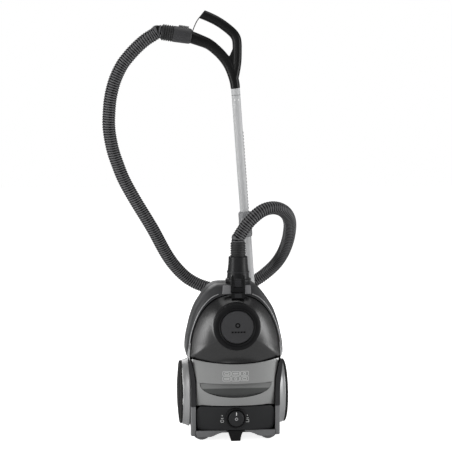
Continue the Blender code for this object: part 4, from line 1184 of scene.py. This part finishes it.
def make_wand():
    lower = hollow("tube_lower", [wand_at(z) for z in (96, 300, 516.7)], 14.5, 13.3, "tube", 64)
    put(lower, "canister", "wand_metal", "wand_lower_tube")
    upper = hollow("tube_upper", [wand_at(z) for z in (455, 700, 924)], 12.0, 10.8, "tube", 64)
    put(upper, "wand_top", "wand_metal", "wand_upper_tube")
    foot, head = wand_at(517), wand_at(587)
    length = (head - foot).length
    collar = turned("collar_shaped",
                    [(13.4, 0), (15.6, 0), (16.6, 1), (17.6, 4), (18, 9), (18, length * 0.55),
                     (17.2, length * 0.62), (17.2, length * 0.9), (16.6, length - 3),
                     (14.6, length - 0.5), (13.4, length)], foot, WAND_AXIS, "collar", 72, 0.8)
    put(collar, "canister", "collar_grey", "wand_collar")
    side = Vector((1, 0, 0)) - WAND_AXIS * WAND_AXIS.x
    for index in range(24):
        spot = wand_at(596 + index * 9.0) + side.normalized() * 11.4
        tooth = turned(f"rack_tooth_{index:02d}", [(0, -1.2), (3.2, -1.2), (2.6, 1.6), (0, 1.6)],
                       spot, side, "casing_dark", 12, 0.2)
        put(tooth, "wand_top", "dark_grey")
    face = Vector((0, -1, 0)) - WAND_AXIS * -WAND_AXIS.y
    for index, turn in enumerate((-24, 24)):
        out = Quaternion(WAND_AXIS, math.radians(turn)) @ face.normalized()
        stud = turned(f"tube_stud_{index}", [(0, -0.8), (2.6, -0.8), (2.4, 0.7), (0, 1.0)],
                      wand_at(893) + out * 11.9, out, "mark", 24, 0.2)
        put(stud, "wand_top", "wand_metal")
    seam = wand_at(906)
    ring = turned("tube_seam", [(11.9, -0.5), (12.25, -0.5), (12.25, 0.5), (11.9, 0.5)], seam,
                  WAND_AXIS, "casing_dark", 64, 0.1)
    put(ring, "wand_top", "dark_grey")


def make_grip():
    handle = [(-106, 1062.5), (-101.5, 1060.5), (-79, 1052.5), (-56, 1043), (-36, 1028),
              (-17, 1009), (-1, 986), (9, 962), (15, 940), (17.3, 924)]
    line = along([(x, 103.0 if z > 930 else 104.5, z) for x, z in handle], 60)
    radii = [16.6, 16.0, 15.2, 14.5, 14.2, 14.0, 13.9, 13.9, 13.6, 13.2, 13.0]

    def arm_radius(index, angle):
        spot = index / 59 * (len(radii) - 1)
        low = min(int(spot), len(radii) - 2)
        return radii[low] + (radii[low + 1] - radii[low]) * (spot - low)

    arm = tube("grip_body", line, arm_radius, "grip", 40)
    bar_line = along([(-88, 103, 1128.0)] + [(x, 103, z) for x, z in BAR_LINE], 60)
    bar = tube("grip_bar", bar_line, BAR_R + 0.2, "grip", 36)
    tip, lean = Vector((-74.6, 103, 1123.0)), math.radians(20.5 + BAR_TIP_SLANT)
    away = Vector((-math.cos(lean), 0, math.sin(lean)))
    across = Vector((math.sin(lean), 0, math.cos(lean)))
    corners = [tip + across * a + away * b for a, b in ((-40, 0), (40, 0), (40, 40), (-40, 40))]
    boolean(bar, prism("tip_cut", [(c.x, c.z) for c in corners], 70, 140, "grip", bevel=0))
    boolean(arm, bar, "UNION")
    boolean(arm, prism("grip_web", GRIP_WEB, 94.5, 111.5, "grip", bevel=0), "UNION")
    even = arm.modifiers.new("even", "REMESH")
    even.mode = "VOXEL"
    even.voxel_size = 1.2 * MM
    flow = arm.modifiers.new("flow", "SMOOTH")
    flow.iterations = 9
    flow.factor = 0.5
    graph = bpy.context.evaluated_depsgraph_get()
    made = bpy.data.meshes.new_from_object(arm.evaluated_get(graph))
    arm.modifiers.clear()
    arm.data = made
    made.materials.clear()
    made.materials.append(LOOKS["grip"])
    made.shade_smooth()
    put(arm, "wand_top", "black_plastic", "grip")
    strut = tube("grip_hoop", along([(-80, 103, 1114.6), (-88, 103, 1103), (-94.5, 103, 1089),
                                     (-100, 103, 1075)], 24), 1.3, "grip", 12)
    put(strut, "wand_top", "black_plastic", "grip_strut")


def make_cuff():
    length = CUFF_AXIS.length
    cuff = turned("cuff_body", [(10, -3), (18.6, -3), (20, -1), (20.8, 3), (21.2, 16),
                                (21.6, length - 6), (21.2, length - 2), (20, length - 0.3),
                                (10, length)], CUFF_START, CUFF_AXIS, "cuff", 72, 0.6)
    put(cuff, "wand_top", "dark_grey", "hose_cuff")
    sleeve = turned("cuff_bellows", ribs(length + 0.3, 78.0, 5, 21.8, 19.4, 10), CUFF_START,
                    CUFF_AXIS, "sleeve", 72, 0.5)
    put(sleeve, "wand_top", "soft_black", "cuff_sleeve")
    run = CUFF_AXIS.normalized()
    upward = (Vector((0, 0, 1)) - run * run.z).normalized()
    across = run.cross(upward)

    def section(reach, drop):
        return [CUFF_START + run * reach + upward * (high - drop) + across * wide
                for wide, high in ((-6, 21.8), (6, 21.8), (6.2, 23.6), (5.4, 25), (4, 25.4),
                                   (-4, 25.4), (-5.4, 25), (-6.2, 23.6))]

    rings = [section(reach, drop) for reach, drop in
             ((6, 0.4), (6.3, 0.1), (7, 0), (17, 0), (18, -0.5), (19, -0.5), (20, 0), (32, 0),
              (32.8, 0.1), (33, 0.4))]
    slider = skin("suction_shutter", rings, "slider", sharp=60)
    put(slider, "suction_valve", "collar_grey", "suction_slider")


# ---- wheels ----------------------------------------------------------------------------------------


def make_wheels():
    base = (0, 22, 108)
    for side, name, body in ((1, "right", "wheel_r"), (-1, "left", "wheel_l")):
        out = (side, 0, 0)
        arch = turned("arch_" + name,
                      [(13, 111.3), (79, 111.3), (91, 117), (92, 118.4), (91.4, 120.4),
                       (88.6, 126), (87, 130), (86, 134.5), (85, 136), (82, 136), (82, 115.5),
                       (78, 114.5), (13, 114.5)], base, out, "arch", 128, 0.8)
        x0, x1 = sorted((side * 100, side * 145))
        boolean(arch, block("cut_" + name, (x0, 86, 0), (x1, 125, 220), "arch", 0))
        put(arch, "canister", "silver_paint", "wheel_arch_" + name)
        cap = turned("hub_" + name,
                     [(0, 148), (14, 147.9), (15, 147.2), (16, 147.2), (17, 147.85), (40, 147.1),
                      (60, 145.4), (70, 144), (71, 143.2), (72, 143.2), (73, 143.6),
                      (75.7, 142.8), (75.7, 136.5), (19, 136.5), (19, 119.2), (12.4, 119.2),
                      (12.4, 136.6), (0, 136.6)], base, out, "hub", 160, 0.35)
        put(cap, body, "black_plastic", "wheel_" + name)

        def tread(angle, radius, height):
            return 0.35 * (1 if math.cos(angle * 60) > 0 else -1) if radius > 83 else 0.0

        tyre = turned("tread_" + name,
                      [(76, 136.4), (83, 136.4), (84.1, 137.6), (84.1, 140.4), (82.2, 142.4),
                       (79, 143.4), (76, 143.1)], base, out, "rubber", 240, 0.3, wobble=tread)
        put(tyre, body, "tyre_rubber", "tyre_" + name)


def main():
    make_camera()
    hose = make_hose()
    make_floor()
    make_lights()
    for look, nodes in CAD_LOOKS.items():
        for node in nodes:
            dress(node, look)
    dress("recess_cup", "recess")
    dress("collar_button", "casing_dark")
    for build in (
        make_shell, make_lid, make_cap, make_cover, make_pictograms, make_wings,
        make_control_panel, make_dial, make_piping, make_trims, make_pads, make_lip, make_tongue,
        make_head, make_foot, make_nose, make_inlet, make_wand, make_grip, make_cuff, make_wheels,
    ):
        build()
    bpy.context.view_layer.update()
    hang_hose(*hose)


main()
